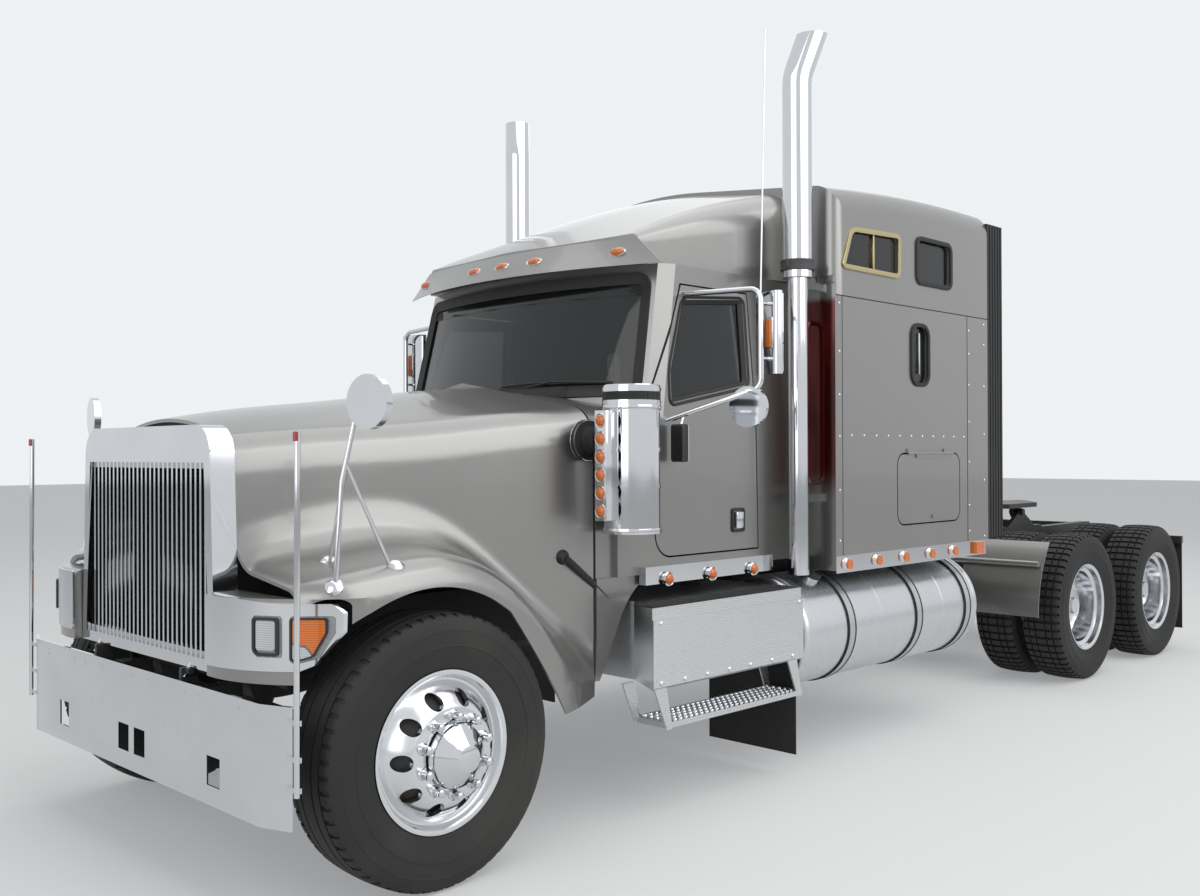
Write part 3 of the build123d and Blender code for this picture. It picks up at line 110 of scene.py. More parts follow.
class Finish:
    def __init__(self, name, **values):
        self.material = bpy.data.materials.new(name)
        self.material.use_nodes = True
        self.tree = self.material.node_tree
        self.shader = self.tree.nodes["Principled BSDF"]
        self.set(**values)

    def add(self, kind, settings=None, inputs=None, output=0):
        node = self.tree.nodes.new(kind)
        for key, value in (settings or {}).items():
            setattr(node, key, value)
        for key, value in (inputs or {}).items():
            self.feed(node.inputs[key], value)
        return Wire(self, node.outputs[output])

    def feed(self, socket, value):
        if isinstance(value, Wire):
            self.tree.links.new(value.socket, socket)
        else:
            socket.default_value = value

    def set(self, **values):
        sockets = {
            "colour": "Base Color", "metallic": "Metallic", "roughness": "Roughness", "normal": "Normal",
            "coat": "Coat Weight", "coatRoughness": "Coat Roughness", "alpha": "Alpha",
            "sheen": "Sheen Weight", "specular": "Specular IOR Level",
        }
        for key, value in values.items():
            self.feed(self.shader.inputs[sockets[key]], value)

    def place(self, stretch=(1, 1, 1)):
        coords = self.add("ShaderNodeTexCoord", output="Object")
        return self.add("ShaderNodeMapping", {}, {"Vector": coords, "Scale": stretch})

    def noise(self, scale, detail=3, stretch=(1, 1, 1)):
        place = self.place(stretch)
        return self.add("ShaderNodeTexNoise", {}, {"Vector": place, "Scale": scale, "Detail": detail})

    def lines(self, direction, scale):
        settings = {"wave_type": "BANDS", "bands_direction": direction}
        return self.add("ShaderNodeTexWave", settings, {"Vector": self.place(), "Scale": scale})

    def band(self, value, low, high):
        return self.add(
            "ShaderNodeMapRange", {"interpolation_type": "SMOOTHSTEP"},
            {"Value": value, "From Min": low, "From Max": high},
        )

    def along(self, axis):
        return self.add("ShaderNodeSeparateXYZ", {}, {0: self.place()}, output="XYZ".index(axis))

    def blend(self, factor, low, high):
        return self.add("ShaderNodeMix", {"data_type": "RGBA"}, {0: factor, 6: low, 7: high}, output=2)

    def bump(self, height, strength, distance):
        sizes = {"Strength": strength, "Distance": distance}
        return self.add("ShaderNodeBump", {}, {"Height": height, **sizes})


def rgb(red, green, blue):
    return (red, green, blue, 1)


# Finishes: colours, gloss and grain
paintLook = {
    "colour": rgb(0.235, 0.232, 0.225),
    "flake": rgb(0.325, 0.32, 0.312),
    "metallic": 0.74,
    "roughness": 0.26,
    "flakeScale": 1400,
    "cloudScale": 2.2,
}
treadLook = {"colour": rgb(0.62, 0.63, 0.64), "pitch": 0.022}
# Painted reflection: the polished corner panel's colour carries a mottled red band that stands for red
# surroundings mirrored in it
paintedReflectionLook = {
    "dark": rgb(0.055, 0.006, 0.006),
    "light": rgb(0.17, 0.02, 0.016),
    "foot": (1.32, 1.52),  # heights between which the paint gives way to the red reflection
    "top": (2.36, 2.4),
}


def paintFinish(values):
    finish = Finish("silverPaint", metallic=values["metallic"], coat=0.55, coatRoughness=0.06)
    flakes = finish.noise(values["flakeScale"], 1)
    cloud = finish.noise(values["cloudScale"], 3)
    finish.set(
        colour=finish.blend(flakes * 0.6 + cloud * 0.25, values["colour"], values["flake"]),
        roughness=flakes * 0.05 + cloud * 0.05 + values["roughness"],
        normal=finish.bump(flakes, 0.04, 0.0004),
    )
    return finish


def brightFinish(name, colour, roughness, smear, stretch=(1, 1, 1), grain=6, bump=0.0):
    finish = Finish(name, metallic=1)
    streak = finish.noise(grain, 4, stretch)
    lighter = rgb(*(min(1, part * 1.12) for part in colour[:3]))
    finish.set(colour=finish.blend(streak, colour, lighter), roughness=streak * smear + roughness)
    if bump:
        finish.set(normal=finish.bump(streak, bump, 0.0006))
    return finish


def dullFinish(name, colour, dust, roughness, grain, bump):
    finish = Finish(name)
    speck = finish.noise(grain, 4)
    cloud = finish.noise(1.7, 3)
    finish.set(
        colour=finish.blend(finish.band(cloud, 0.45, 0.75), colour, dust),
        roughness=speck * 0.12 + roughness,
        normal=finish.bump(speck, bump, 0.001),
    )
    return finish


def treadPlateFinish(values):
    finish = Finish("treadPlate", metallic=1, colour=values["colour"])
    waves = 2 * math.pi / values["pitch"]
    along = finish.along("Y")
    side = finish.along("X") + finish.along("Z")
    lozenge = ((along + side) * waves).maths("SINE") * ((along - side) * waves).maths("SINE")
    raised = finish.band(lozenge, 0.35, 0.7)
    finish.set(roughness=raised * -0.1 + 0.3, normal=finish.bump(raised, 0.5, 0.0015))
    return finish


def glassFinish(name, colour, alpha, roughness):
    finish = Finish(name, colour=colour, alpha=alpha, roughness=roughness, coat=0.3, coatRoughness=0.02)
    film = finish.noise(3, 3)
    finish.set(roughness=film * 0.03 + roughness)
    return finish


def lensFinish(name, colour, deep):
    finish = Finish(name, coat=0.8, coatRoughness=0.05)
    ribs = finish.lines("Z", 40)
    finish.set(
        colour=finish.blend(ribs, colour, deep),
        roughness=ribs * 0.05 + 0.14,
        normal=finish.bump(ribs, 0.15, 0.001),
    )
    return finish


def clothFinish(name, colour, light):
    finish = Finish(name, roughness=0.9, sheen=0.3)
    weave = finish.lines("X", 110) * finish.lines("Y", 110)
    finish.set(colour=finish.blend(weave, colour, light), normal=finish.bump(weave, 0.3, 0.001))
    return finish


def screenFinish():
    finish = Finish("radiatorScreen", metallic=0.3, roughness=0.6)
    mesh = finish.lines("Z", 60) * finish.lines("X", 60)
    finish.set(colour=finish.blend(mesh, rgb(0.004, 0.004, 0.004), rgb(0.05, 0.05, 0.05)))
    return finish


# Painted reflection: between the foot and top heights the colour turns to mottled red, a reflection painted
# into the panel; elsewhere it keeps the body's silver paint colour
def redPanelFinish(values, paint):
    finish = Finish("mirrorPanel", metallic=0.75, roughness=0.12, coat=0.5)
    high = finish.along("Z")
    cloud = finish.noise(5, 3, (3, 1, 0.35))
    mottledReflection = finish.blend(finish.band(cloud, 0.35, 0.7), values["dark"], values["light"])
    inside = finish.band(high, *values["foot"]) * (1 - finish.band(high, *values["top"]))
    finish.set(colour=finish.blend(inside, paint["colour"], mottledReflection))
    return finish


silver = paintFinish(paintLook)
chrome = brightFinish("chrome", rgb(0.6, 0.61, 0.63), 0.05, 0.05)
alloy = brightFinish("polishedAlloy", rgb(0.66, 0.67, 0.69), 0.13, 0.08)
tankAlloy = brightFinish("tankAlloy", rgb(0.6, 0.61, 0.63), 0.2, 0.16, (0.4, 26, 0.4), 9, 0.03)
brushed = brightFinish("brushedSteel", rgb(0.5, 0.51, 0.52), 0.26, 0.14, (1, 1, 40), 9, 0.03)
brass = brightFinish("agedBrass", rgb(0.5, 0.42, 0.24), 0.2, 0.1)
treadPlate = treadPlateFinish(treadLook)
paintedReflectionPanel = redPanelFinish(paintedReflectionLook, paintLook)
frameBlack = dullFinish("frameBlack", rgb(0.016, 0.016, 0.017), rgb(0.04, 0.038, 0.034), 0.42, 60, 0.1)
axleBlack = dullFinish("axleBlack", rgb(0.025, 0.025, 0.026), rgb(0.07, 0.062, 0.052), 0.6, 90, 0.3)
engineGrey = dullFinish("engineGrey", rgb(0.05, 0.052, 0.055), rgb(0.09, 0.085, 0.08), 0.55, 40, 0.2)
tyreRubber = dullFinish("tyreRubber", rgb(0.012, 0.012, 0.0125), rgb(0.03, 0.028, 0.025), 0.66, 160, 0.12)
sealRubber = dullFinish("sealRubber", rgb(0.01, 0.01, 0.0105), rgb(0.02, 0.02, 0.02), 0.55, 120, 0.1)
flapRubber = dullFinish("flapRubber", rgb(0.012, 0.012, 0.012), rgb(0.035, 0.032, 0.028), 0.7, 20, 0.1)
blackPlastic = dullFinish("blackPlastic", rgb(0.014, 0.014, 0.015), rgb(0.022, 0.022, 0.022), 0.4, 300, 0.1)
dashPlastic = dullFinish("dashPlastic", rgb(0.05, 0.05, 0.052), rgb(0.07, 0.07, 0.07), 0.6, 400, 0.2)
windowGlass = glassFinish("windowGlass", rgb(0.012, 0.014, 0.015), 0.62, 0.02)
clearLens = glassFinish("clearLens", rgb(0.75, 0.78, 0.8), 0.28, 0.04)
mirrorGlass = Finish("mirrorGlass", metallic=1, colour=rgb(0.8, 0.82, 0.84), roughness=0.02)
amber = lensFinish("amberLens", rgb(0.8, 0.2, 0.008), rgb(0.5, 0.09, 0.004))
red = lensFinish("redLens", rgb(0.45, 0.012, 0.008), rgb(0.22, 0.006, 0.004))
seatCloth = clothFinish("seatCloth", rgb(0.06, 0.06, 0.068), rgb(0.12, 0.12, 0.13))
bedCloth = clothFinish("bedCloth", rgb(0.12, 0.13, 0.16), rgb(0.22, 0.23, 0.27))
screen = screenFinish()
lampGlow = lensFinish("clearPane", rgb(0.62, 0.64, 0.66), rgb(0.4, 0.42, 0.45))
print("finishes made")

nodeFinishes = {
    silver: (
        "hood_shell", "cab_shell", "door_left", "door_right", "roof", "sleeper_shell", "luggage_door_left",
        "luggage_door_right", "quarter_fenders", "sun_visor",
    ),
    chrome: (
        "bumper", "grille_frame", "grille_bars", "headlamp_bezels", "hood_mirrors", "exhaust_stacks",
        "air_cleaners", "mirror_left", "mirror_right", "lamp_rails",
    ),
    alloy: (
        "rim_front_left", "rim_front_right", "rims_mid_left", "rims_mid_right", "rims_rear_left",
        "rims_rear_right",
    ),
    tankAlloy: ("fuel_tanks",),
    brushed: ("tank_straps",),
    treadPlate: ("step_boxes",),
    paintedReflectionPanel: ("corner_panels",),
    axleBlack: (
        "front_axle", "front_springs", "knuckle_left", "knuckle_right", "tie_rod", "drive_axles",
        "rear_suspension",
    ),
    frameBlack: ("frame_rails", "fifth_wheel_base", "fifth_wheel_plate", "tail_lamps"),
    engineGrey: ("engine_block",),
    screen: ("radiator",),
    tyreRubber: (
        "tyre_front_left", "tyre_front_right", "tyres_mid_left", "tyres_mid_right", "tyres_rear_left",
        "tyres_rear_right",
    ),
    sealRubber: ("rear_edges",),
    flapRubber: ("mud_flaps",),
    amber: ("marker_lamps",),
    clearLens: ("headlamp_lenses",),
    windowGlass: ("door_pane_left", "door_pane_right", "glazing"),
    dashPlastic: ("dashboard",),
    seatCloth: ("seats",),
}
nodeDress = {"mergeGap": 0.00002, "sharpAngle": 26}


def dressNode(node, finish):
    node.data.materials.clear()
    node.data.materials.append(finish.material)
    for face in node.data.polygons:
        face.use_smooth = True
    weld = node.modifiers.new("weld", "WELD")
    weld.merge_threshold = nodeDress["mergeGap"]
    split = node.modifiers.new("edgeSplit", "EDGE_SPLIT")
    split.split_angle = math.radians(nodeDress["sharpAngle"])


for finish, names in nodeFinishes.items():
    for name in names:
        dressNode(nodes[name], finish)
undressed = sorted(set(nodes) - {name for names in nodeFinishes.values() for name in names})
print("nodes dressed, left over:", undressed)


# Modelling as by hand: a primitive to start from, parts picked by place or normal, then edit operators
def leaveEdit():
    if bpy.context.mode != "OBJECT":
        bpy.ops.object.mode_set(mode="OBJECT")


def only(*pieces):
    leaveEdit()
    bpy.ops.object.select_all(action="DESELECT")
    for piece in pieces:
        piece.select_set(True)
    bpy.context.view_layer.objects.active = pieces[0]


def start(kind, **settings):
    leaveEdit()
    bpy.ops.object.select_all(action="DESELECT")
    getattr(bpy.ops.mesh, "primitive_" + kind + "_add")(**settings)
    piece = bpy.context.object
    bpy.ops.object.transform_apply(location=True, rotation=True, scale=True)
    bpy.ops.object.mode_set(mode="EDIT")
    bpy.ops.mesh.select_mode(type="VERT")
    return piece


def pick(piece, test, kind="FACE"):
    bpy.ops.mesh.select_mode(type=kind)
    bpy.ops.mesh.select_all(action="DESELECT")
    shape = bmesh.from_edit_mesh(piece.data)
    for part in shape.faces if kind == "FACE" else shape.edges:
        if test(part):
            part.select_set(True)
    bmesh.update_edit_mesh(piece.data)


def tidy(piece):
    only(piece)
    bpy.ops.object.mode_set(mode="EDIT")
    bpy.ops.mesh.select_all(action="SELECT")
    bpy.ops.mesh.remove_doubles(threshold=nodeDress["mergeGap"])
    bpy.ops.mesh.normals_make_consistent(inside=False)
    leaveEdit()


def modify(piece, kind, **settings):
    only(piece)
    modifier = piece.modifiers.new(kind.lower(), kind)
    for key, value in settings.items():
        setattr(modifier, key, value)
    bpy.ops.object.modifier_apply(modifier=modifier.name)
    return piece


def copied(piece, move=(0, 0, 0), flip=False):
    only(piece)
    bpy.ops.object.duplicate(linked=False)
    twin = bpy.context.object
    if flip:
        bpy.ops.transform.resize(value=(-1, 1, 1), center_override=(0, 0, 0))
    bpy.ops.transform.translate(value=move)
    bpy.ops.object.transform_apply(location=True, rotation=True, scale=True)
    if flip:
        tidy(twin)
    return twin


def joined(pieces):
    only(*pieces)
    if len(pieces) > 1:
        bpy.ops.object.join()
    return pieces[0]


def finished(piece, name, finish, body, angle=32):
    only(piece)
    piece.name = name
    piece.data.materials.clear()
    piece.data.materials.append(finish.material)
    bpy.ops.object.shade_smooth_by_angle(angle=math.radians(angle))
    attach(piece, body)
    return piece


def mirrored(pieces, name, finish, body="chassis"):
    # one object for both sides of the truck
    left = joined(pieces)
    return finished(joined([left, copied(left, flip=True)]), name, finish, body)


def oneEachSide(left, name, finish, body, node="", angle=32):
    # one object for each side, riding on its own body and standing for its own node
    right = copied(left, flip=True)
    for piece, side in ((left, "left"), (right, "right")):
        finished(piece, name + side.title(), finish, body + side, angle)
        if node:
            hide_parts(node + side)


def scattered(pattern, places):
    pieces = [copied(pattern, place) for place in places]
    bpy.data.objects.remove(pattern)
    return joined(pieces)


def spun(profile, centre, axis, steps):
    # profile rows are (distance from the axis, distance along it)
    axis = Vector(axis).normalized()
    outward = axis.orthogonal().normalized()
    points = [Vector(centre) + outward * away + axis * along for away, along in profile]
    piece = start("plane", size=1, location=points[0])
    bpy.ops.mesh.merge(type="CENTER")
    for here, following in zip(points, points[1:]):
        bpy.ops.mesh.extrude_vertices_move(TRANSFORM_OT_translate={"value": following - here})
    bpy.ops.mesh.select_all(action="SELECT")
    bpy.ops.mesh.spin(steps=steps, angle=2 * math.pi, center=centre, axis=axis)
    tidy(piece)
    return piece


plateEdges = {"cornerSegments": 5, "soft": 0.0015, "softAngle": 50}


def flatPlate(corners, radius, segments):
    piece = start("circle", vertices=len(corners), radius=1, fill_type="NGON", location=(0, 0, 0))
    shape = bmesh.from_edit_mesh(piece.data)
    for vert, corner in zip(shape.verts, corners):
        vert.co = corner
    bmesh.update_edit_mesh(piece.data)
    bpy.ops.mesh.select_all(action="SELECT")
    bpy.ops.mesh.bevel(offset=radius, segments=segments, affect="VERTICES")
    bpy.ops.mesh.select_all(action="SELECT")
    return piece


def ringPlate(corners, radius, width, thick):
    piece = flatPlate(corners, radius, plateEdges["cornerSegments"])
    bpy.ops.mesh.inset(thickness=width)
    bpy.ops.mesh.delete(type="FACE")
    return thickened(piece, thick, plateEdges["soft"])


def thickened(piece, thick, soft=0.0):
    modify(piece, "SOLIDIFY", thickness=thick, offset=0)
    tidy(piece)
    if soft:
        angle = math.radians(plateEdges["softAngle"])
        modify(piece, "BEVEL", width=soft, segments=2, limit_method="ANGLE", angle_limit=angle)
    return piece


def bentRod(points, radius):
    curve = bpy.data.curves.new("rod", "CURVE")
    curve.dimensions = "3D"
    line = curve.splines.new("NURBS")
    line.points.add(len(points) - 1)
    for knot, point in zip(line.points, points):
        knot.co = (*point, 1)
    line.order_u = 3
    line.use_endpoint_u = True
    curve.bevel_depth = radius
    curve.bevel_resolution = 3
    curve.use_fill_caps = True
    piece = bpy.data.objects.new("rod", curve)
    bpy.context.scene.collection.objects.link(piece)
    only(piece)
    bpy.ops.object.convert(target="MESH")
    tidy(piece)
    return piece


def block(low, high, soft, segments=2):
    size = Vector(high) - Vector(low)
    piece = start("cube", size=1, location=(Vector(low) + Vector(high)) / 2, scale=size)
    bpy.ops.mesh.select_all(action="SELECT")
    bpy.ops.mesh.bevel(offset=soft, segments=segments, affect="EDGES")
    leaveEdit()
    return piece


def placed(low, high, *softness):
    # a block whose corners are counted from the front axle
    return block(at(*low), at(*high), *softness)


def touch(node, place, heading):
    # where a line from place meets a node, and the way that its surface faces there
    found, spot, facing = nodes[node].ray_cast(Vector(place), Vector(heading).normalized())[:3]
    if not found:
        raise RuntimeError("nothing of " + node + " at " + str(tuple(place)))
    return spot, facing


# Tyres: the section as (width, radius) from the bead up to the tread's edge, then the tread's grooves
tyreShape = {
    "side": (
        (0.1071, 0.2866), (0.1071, 0.3010), (0.1150, 0.3030), (0.1200, 0.3110), (0.1215, 0.3200),
        (0.1262, 0.3330), (0.1335, 0.3540), (0.1382, 0.3760), (0.1395, 0.3840), (0.1418, 0.3860),
        (0.1420, 0.3920), (0.1402, 0.3940), (0.1408, 0.4260), (0.1398, 0.4420), (0.1412, 0.4440),
        (0.1405, 0.4500), (0.1385, 0.4520), (0.1360, 0.4640), (0.1318, 0.4780), (0.1285, 0.4850),
        (0.1245, 0.4920), (0.1190, 0.4980), (0.1115, 0.5012),
    ),
    "crown": 0.507,
    "crownDrop": 0.006,  # at the half width below
    "crownHalf": 0.1105,
    "grooves": (0.080, 0.036),
    "grooveHalf": 0.0048,
    "grooveSlope": 0.0015,
    "grooveDepth": 0.013,
    "shoulder": 0.0865,
    "treadFoot": 0.4985,
}
frontTyre = {
    "hub": (1.017, 0.0, 0.507),
    "steps": 180,
    "slotEvery": 3,
    "slotDepth": 0.006,
    "slotAllowance": 0.004,
    "blocks": (),  # widths between which the tread is cut across
}
driveTyre = {
    "hub": (1.074, 5.584, 0.507),
    "steps": 168,
    "slotEvery": 3,
    "slotDepth": 0.014,
    "slotAllowance": 0.012,
    "blocks": ((-1, 0.030), (0.042, 0.074)),
    "twinShift": -0.339,
    "axleShifts": (("mid", 0.0), ("rear", 1.32)),
}


def tyreProfile(values):
    def crownAt(width):
        return values["crown"] - values["crownDrop"] * (width / values["crownHalf"]) ** 2

    half, slope, depth = list(values["side"]), values["grooveSlope"], values["grooveDepth"]
    for groove in values["grooves"]:
        near, far = groove + values["grooveHalf"], groove - values["grooveHalf"]
        half += [(near, crownAt(near)), (near - slope, crownAt(near) - depth)]
        half += [(far + slope, crownAt(far) - depth), (far, crownAt(far))]
    half.append((0.0, values["crown"]))
    whole = half + [(-width, radius) for width, radius in reversed(half[:-1])]
    return [(radius, width) for width, radius in whole + whole[:1]]


def makeTyre(values):
    hub = at(*values["hub"])
    piece = spun(tyreProfile(tyreShape), hub, (1, 0, 0), values["steps"])
    turn = 2 * math.pi / values["steps"]
    bpy.ops.object.mode_set(mode="EDIT")

    def slotted(face):
        spoke = face.calc_center_median() - hub
        row = int((math.atan2(spoke.z, spoke.y) + math.pi) / turn) % values["slotEvery"]
        if row or math.hypot(spoke.y, spoke.z) < tyreShape["treadFoot"] - values["slotAllowance"]:
            return False
        width = abs(spoke.x)
        return width > tyreShape["shoulder"] or any(low < width < high for low, high in values["blocks"])

    pick(piece, slotted)
    bpy.ops.mesh.extrude_region_shrink_fatten(TRANSFORM_OT_shrink_fatten={"value": -values["slotDepth"]})
    leaveEdit()
    return piece


def makeTyres():
    oneEachSide(makeTyre(frontTyre), "steerTyre", tyreRubber, "wheel_front_", "tyre_front_")
    drive = makeTyre(driveTyre)
    drive = joined([drive, copied(drive, (driveTyre["twinShift"], 0, 0))])
    for axle, along in driveTyre["axleShifts"]:
        left = copied(drive, (0, along, 0))
        oneEachSide(left, axle + "Tyres", tyreRubber, f"wheels_{axle}_", f"tyres_{axle}_")
    bpy.data.objects.remove(drive)


makeTyres()
print("tyres made")


# Lamps: an amber dome in a chromed rim, seated where a line meets the panel that carries it
domeShape = {
    "dome": ((0, 1), (0.45, 0.94), (0.75, 0.72), (0.94, 0.35)),  # shares of the radius and of the height
    "foot": ((1, 0.0005), (1, -0.006), (0, -0.006)),  # share of the radius, distance from the panel
    "rim": ((1.22, -0.006), (1.22, 0.001), (1.12, 0.004), (0.99, 0.003), (0.99, -0.006), (1.22, -0.006)),
}
visorLamps = {
    "across": (-0.80, -0.235, 0.0, 0.235, 0.72),
    "from": (0.9, 2.545),
    "size": (0.021, 0.017, (2.1, 1, 1)),  # radius, height, stretch
}
cleanerLamps = {
    "heights": (1.352, 1.428, 1.504, 1.580, 1.656, 1.732),
    "place": (1.100, 0.848),
    "size": (0.026, 0.014),
    "bars": ((0.034, 0.848, 0.854), (0.012, 0.852, 0.942)),  # half width, front, rear
    "barHeights": (1.31, 1.775),
    "barSoft": 0.003,
}
sillLamps = {"along": (1.378, 1.69, 2.011), "from": (1.4, 1.02), "size": (0.027, 0.014)}
railRims = {
    "along": (2.552, 2.84, 3.117, 3.401, 3.667),
    "place": (1.198, 1.018),
    "profile": ((0.0264, 0), (0.0264, 0.012), (0.031, 0.010), (0.037, 0.0), (0.0264, 0)),
}


def domeLamp(spot, facing, radius, height, stretch=(1, 1, 1)):
    dome = [(radius * away, height * rise) for away, rise in domeShape["dome"]]
    dome += [(radius * away, rise) for away, rise in domeShape["foot"]]
    lens = spun(dome, spot, facing, 24)
    rim = spun([(radius * away, rise) for away, rise in domeShape["rim"]], spot, facing, 24)
    for piece in (lens, rim):
        only(piece)
        bpy.ops.transform.resize(value=stretch, center_override=spot)
        bpy.ops.object.transform_apply(location=True, rotation=True, scale=True)
    return lens, rim


def lampRow(name, rows):
    lenses, rims = zip(*(domeLamp(*row) for row in rows))
    finished(joined(list(lenses)), name + "Lenses", amber, "chassis")
    finished(joined(list(rims)), name + "Rims", chrome, "chassis")


def makeLamps():
    along, height = visorLamps["from"]
    rows = []
    for across in visorLamps["across"]:
        spot, facing = touch("sun_visor", at(across, along, height), (0, 1, 0))
        rows.append((spot, facing, *visorLamps["size"]))
    lampRow("visorLamp", rows)
    across, along = cleanerLamps["place"]
    rows = [
        (at(side * across, along, height), Vector((0, -1, 0)), *cleanerLamps["size"])
        for side in (1, -1) for height in cleanerLamps["heights"]
    ]
    low, high = cleanerLamps["barHeights"]
    bars = [
        placed((across - half, front, low), (across + half, rear, high), cleanerLamps["barSoft"])
        for half, front, rear in cleanerLamps["bars"]
    ]
    lampRow("cleanerLamp", rows)
    mirrored(bars, "cleanerLampBars", chrome)
    across, height = sillLamps["from"]
    rows = []
    for side in (1, -1):
        for along in sillLamps["along"]:
            spot = touch("lamp_rails", at(side * across, along, height), (-side, 0, 0))[0]
            rows.append((spot, Vector((side, 0, 0)), *sillLamps["size"]))
    lampRow("sillLamp", rows)
    across, height = railRims["place"]
    rims = [
        spun(railRims["profile"], at(side * across, along, height), (side, 0, 0), 24)
        for side in (1, -1) for along in railRims["along"]
    ]
    finished(joined(rims), "railLampRims", chrome, "chassis")


makeLamps()
print("marker lamps made")


# Head and turn lamps: each pane laid on the CAD lens, (width, height) corners from the front
lampShapes = {
    "headFrame": ((0.874, 0.923), (0.889, 0.906), (0.962, 0.906), (0.962, 1.038), (0.874, 1.038)),
    "headLamp": ((0.886, 0.926), (0.950, 0.926), (0.950, 1.028), (0.886, 1.028)),
    "turnFrame": (
        (0.993, 0.892), (1.009, 0.887), (1.054, 0.905), (1.084, 0.986), (1.084, 1.038), (0.993, 1.038),
    ),
    "turnAmber": (
        (1.000, 0.954), (1.036, 0.944), (1.051, 0.912), (1.077, 0.987), (1.077, 1.031), (1.000, 1.031),
    ),
    "turnClear": ((1.000, 0.899), (1.011, 0.895), (1.048, 0.909), (1.033, 0.936), (1.000, 0.947)),
}
lampPanes = (  # shape, name, corner radius, thickness, proud, frame width, finish, slot
    ("headFrame", "headLampFrames", 0.0105, 0.009, 0.0045, 0.010, blackPlastic, "frame_black"),
    ("turnFrame", "turnLampFrames", 0.008, 0.009, 0.0045, 0.006, blackPlastic, "frame_black"),
    ("headLamp", "headLampPanes", 0.010, 0.005, 0.0030, 0.0, lampGlow, "lamp_lens"),
    ("turnAmber", "turnLampPanes", 0.006, 0.005, 0.0030, 0.0, amber, "amber_lens"),
    ("turnClear", "cornerLampPanes", 0.005, 0.005, 0.0030, 0.0, lampGlow, "lamp_lens"),
)


def laidPane(node, corners, radius, thick, proud, width=0.0, front=-1.0):
    piece = flatPlate([at(across, front, height) for across, height in corners], radius, 4)
    if width:
        bpy.ops.mesh.inset(thickness=width)
        bpy.ops.mesh.delete(type="FACE")
    else:
        bpy.ops.mesh.subdivide(number_cuts=4)
    leaveEdit()
    modify(
        piece, "SHRINKWRAP", target=nodes[node], wrap_method="PROJECT", use_project_x=False,
        use_project_y=True, use_project_z=False, use_positive_direction=True, use_negative_direction=False,
        offset=proud,
    )
    return thickened(piece, thick)


def makeHeadLamps():
    for key, name, radius, thick, proud, width, finish, slotName in lampPanes:
        pane = laidPane("headlamp_lenses", lampShapes[key], radius, thick, proud, width)
        mirrored([pane], name, finish, "hood")


# Rubber round the glass: a ring whose outer half lies on the body and inner half on the pane
glassRings = {
    "screen": ((-0.879, 1.858), (0.879, 1.858), (0.842, 2.452), (-0.842, 2.452)),
    "screenSize": (0.075, 0.054, 0.013),  # corner radius, width, thickness
    # A black strip across the top of the windshield: partly the black gasket band, partly painted shade under
    # the visor
    "shade": ((-0.800, 2.345), (0.800, 2.345), (0.795, 2.410), (-0.795, 2.410)),
    "shadeSize": (0.02, 0.003, 0.003),  # corner radius, thickness, proud
    "door": ((1.452, 1.806), (2.070, 1.918), (2.066, 2.379), (1.580, 2.340), (1.456, 1.984)),
    "doorSize": (0.045, 0.036, 0.010),
    "screenFrom": 0.9,
    "doorFrom": 1.05,
    "proud": 0.003,
    "longestEdge": 0.12,
}


def laidRing(corners, radius, width, thick, axis, outer, inner, reach):
    piece = flatPlate(corners, radius, 6)
    bpy.ops.mesh.inset(thickness=width)
    bpy.ops.mesh.delete(type="FACE")
    for _ in range(4):
        pick(piece, lambda edge: edge.calc_length() > glassRings["longestEdge"], "EDGE")
        bpy.ops.mesh.subdivide(number_cuts=1)
    leaveEdit()
    for node in (inner, outer):
        modify(
            piece, "SHRINKWRAP", target=nodes[node], wrap_method="PROJECT", use_project_x=axis == "X",
            use_project_y=axis == "Y", use_project_z=False, use_positive_direction=axis == "Y",
            use_negative_direction=axis == "X", offset=glassRings["proud"], project_limit=reach,
        )
    return thickened(piece, thick)


def makeGlassRings():
    front = glassRings["screenFrom"]
    corners = [at(across, front, height) for across, height in glassRings["screen"]]
    ring = laidRing(corners, *glassRings["screenSize"], "Y", "cab_shell", "glazing", 0.72)
    finished(ring, "screenRubber", sealRubber, "chassis")
    # Black strip laid on the top of the glass: gasket band and painted shade under the visor
    shade = laidPane("glazing", glassRings["shade"], *glassRings["shadeSize"], front=front)
    finished(shade, "screenShade", sealRubber, "chassis")
    corners = [at(glassRings["doorFrom"], along, height) for along, height in glassRings["door"]]
    ring = laidRing(corners, *glassRings["doorSize"], "X", "door_left", "door_pane_left", 0.2)
    oneEachSide(ring, "doorRubber", sealRubber, "door_")


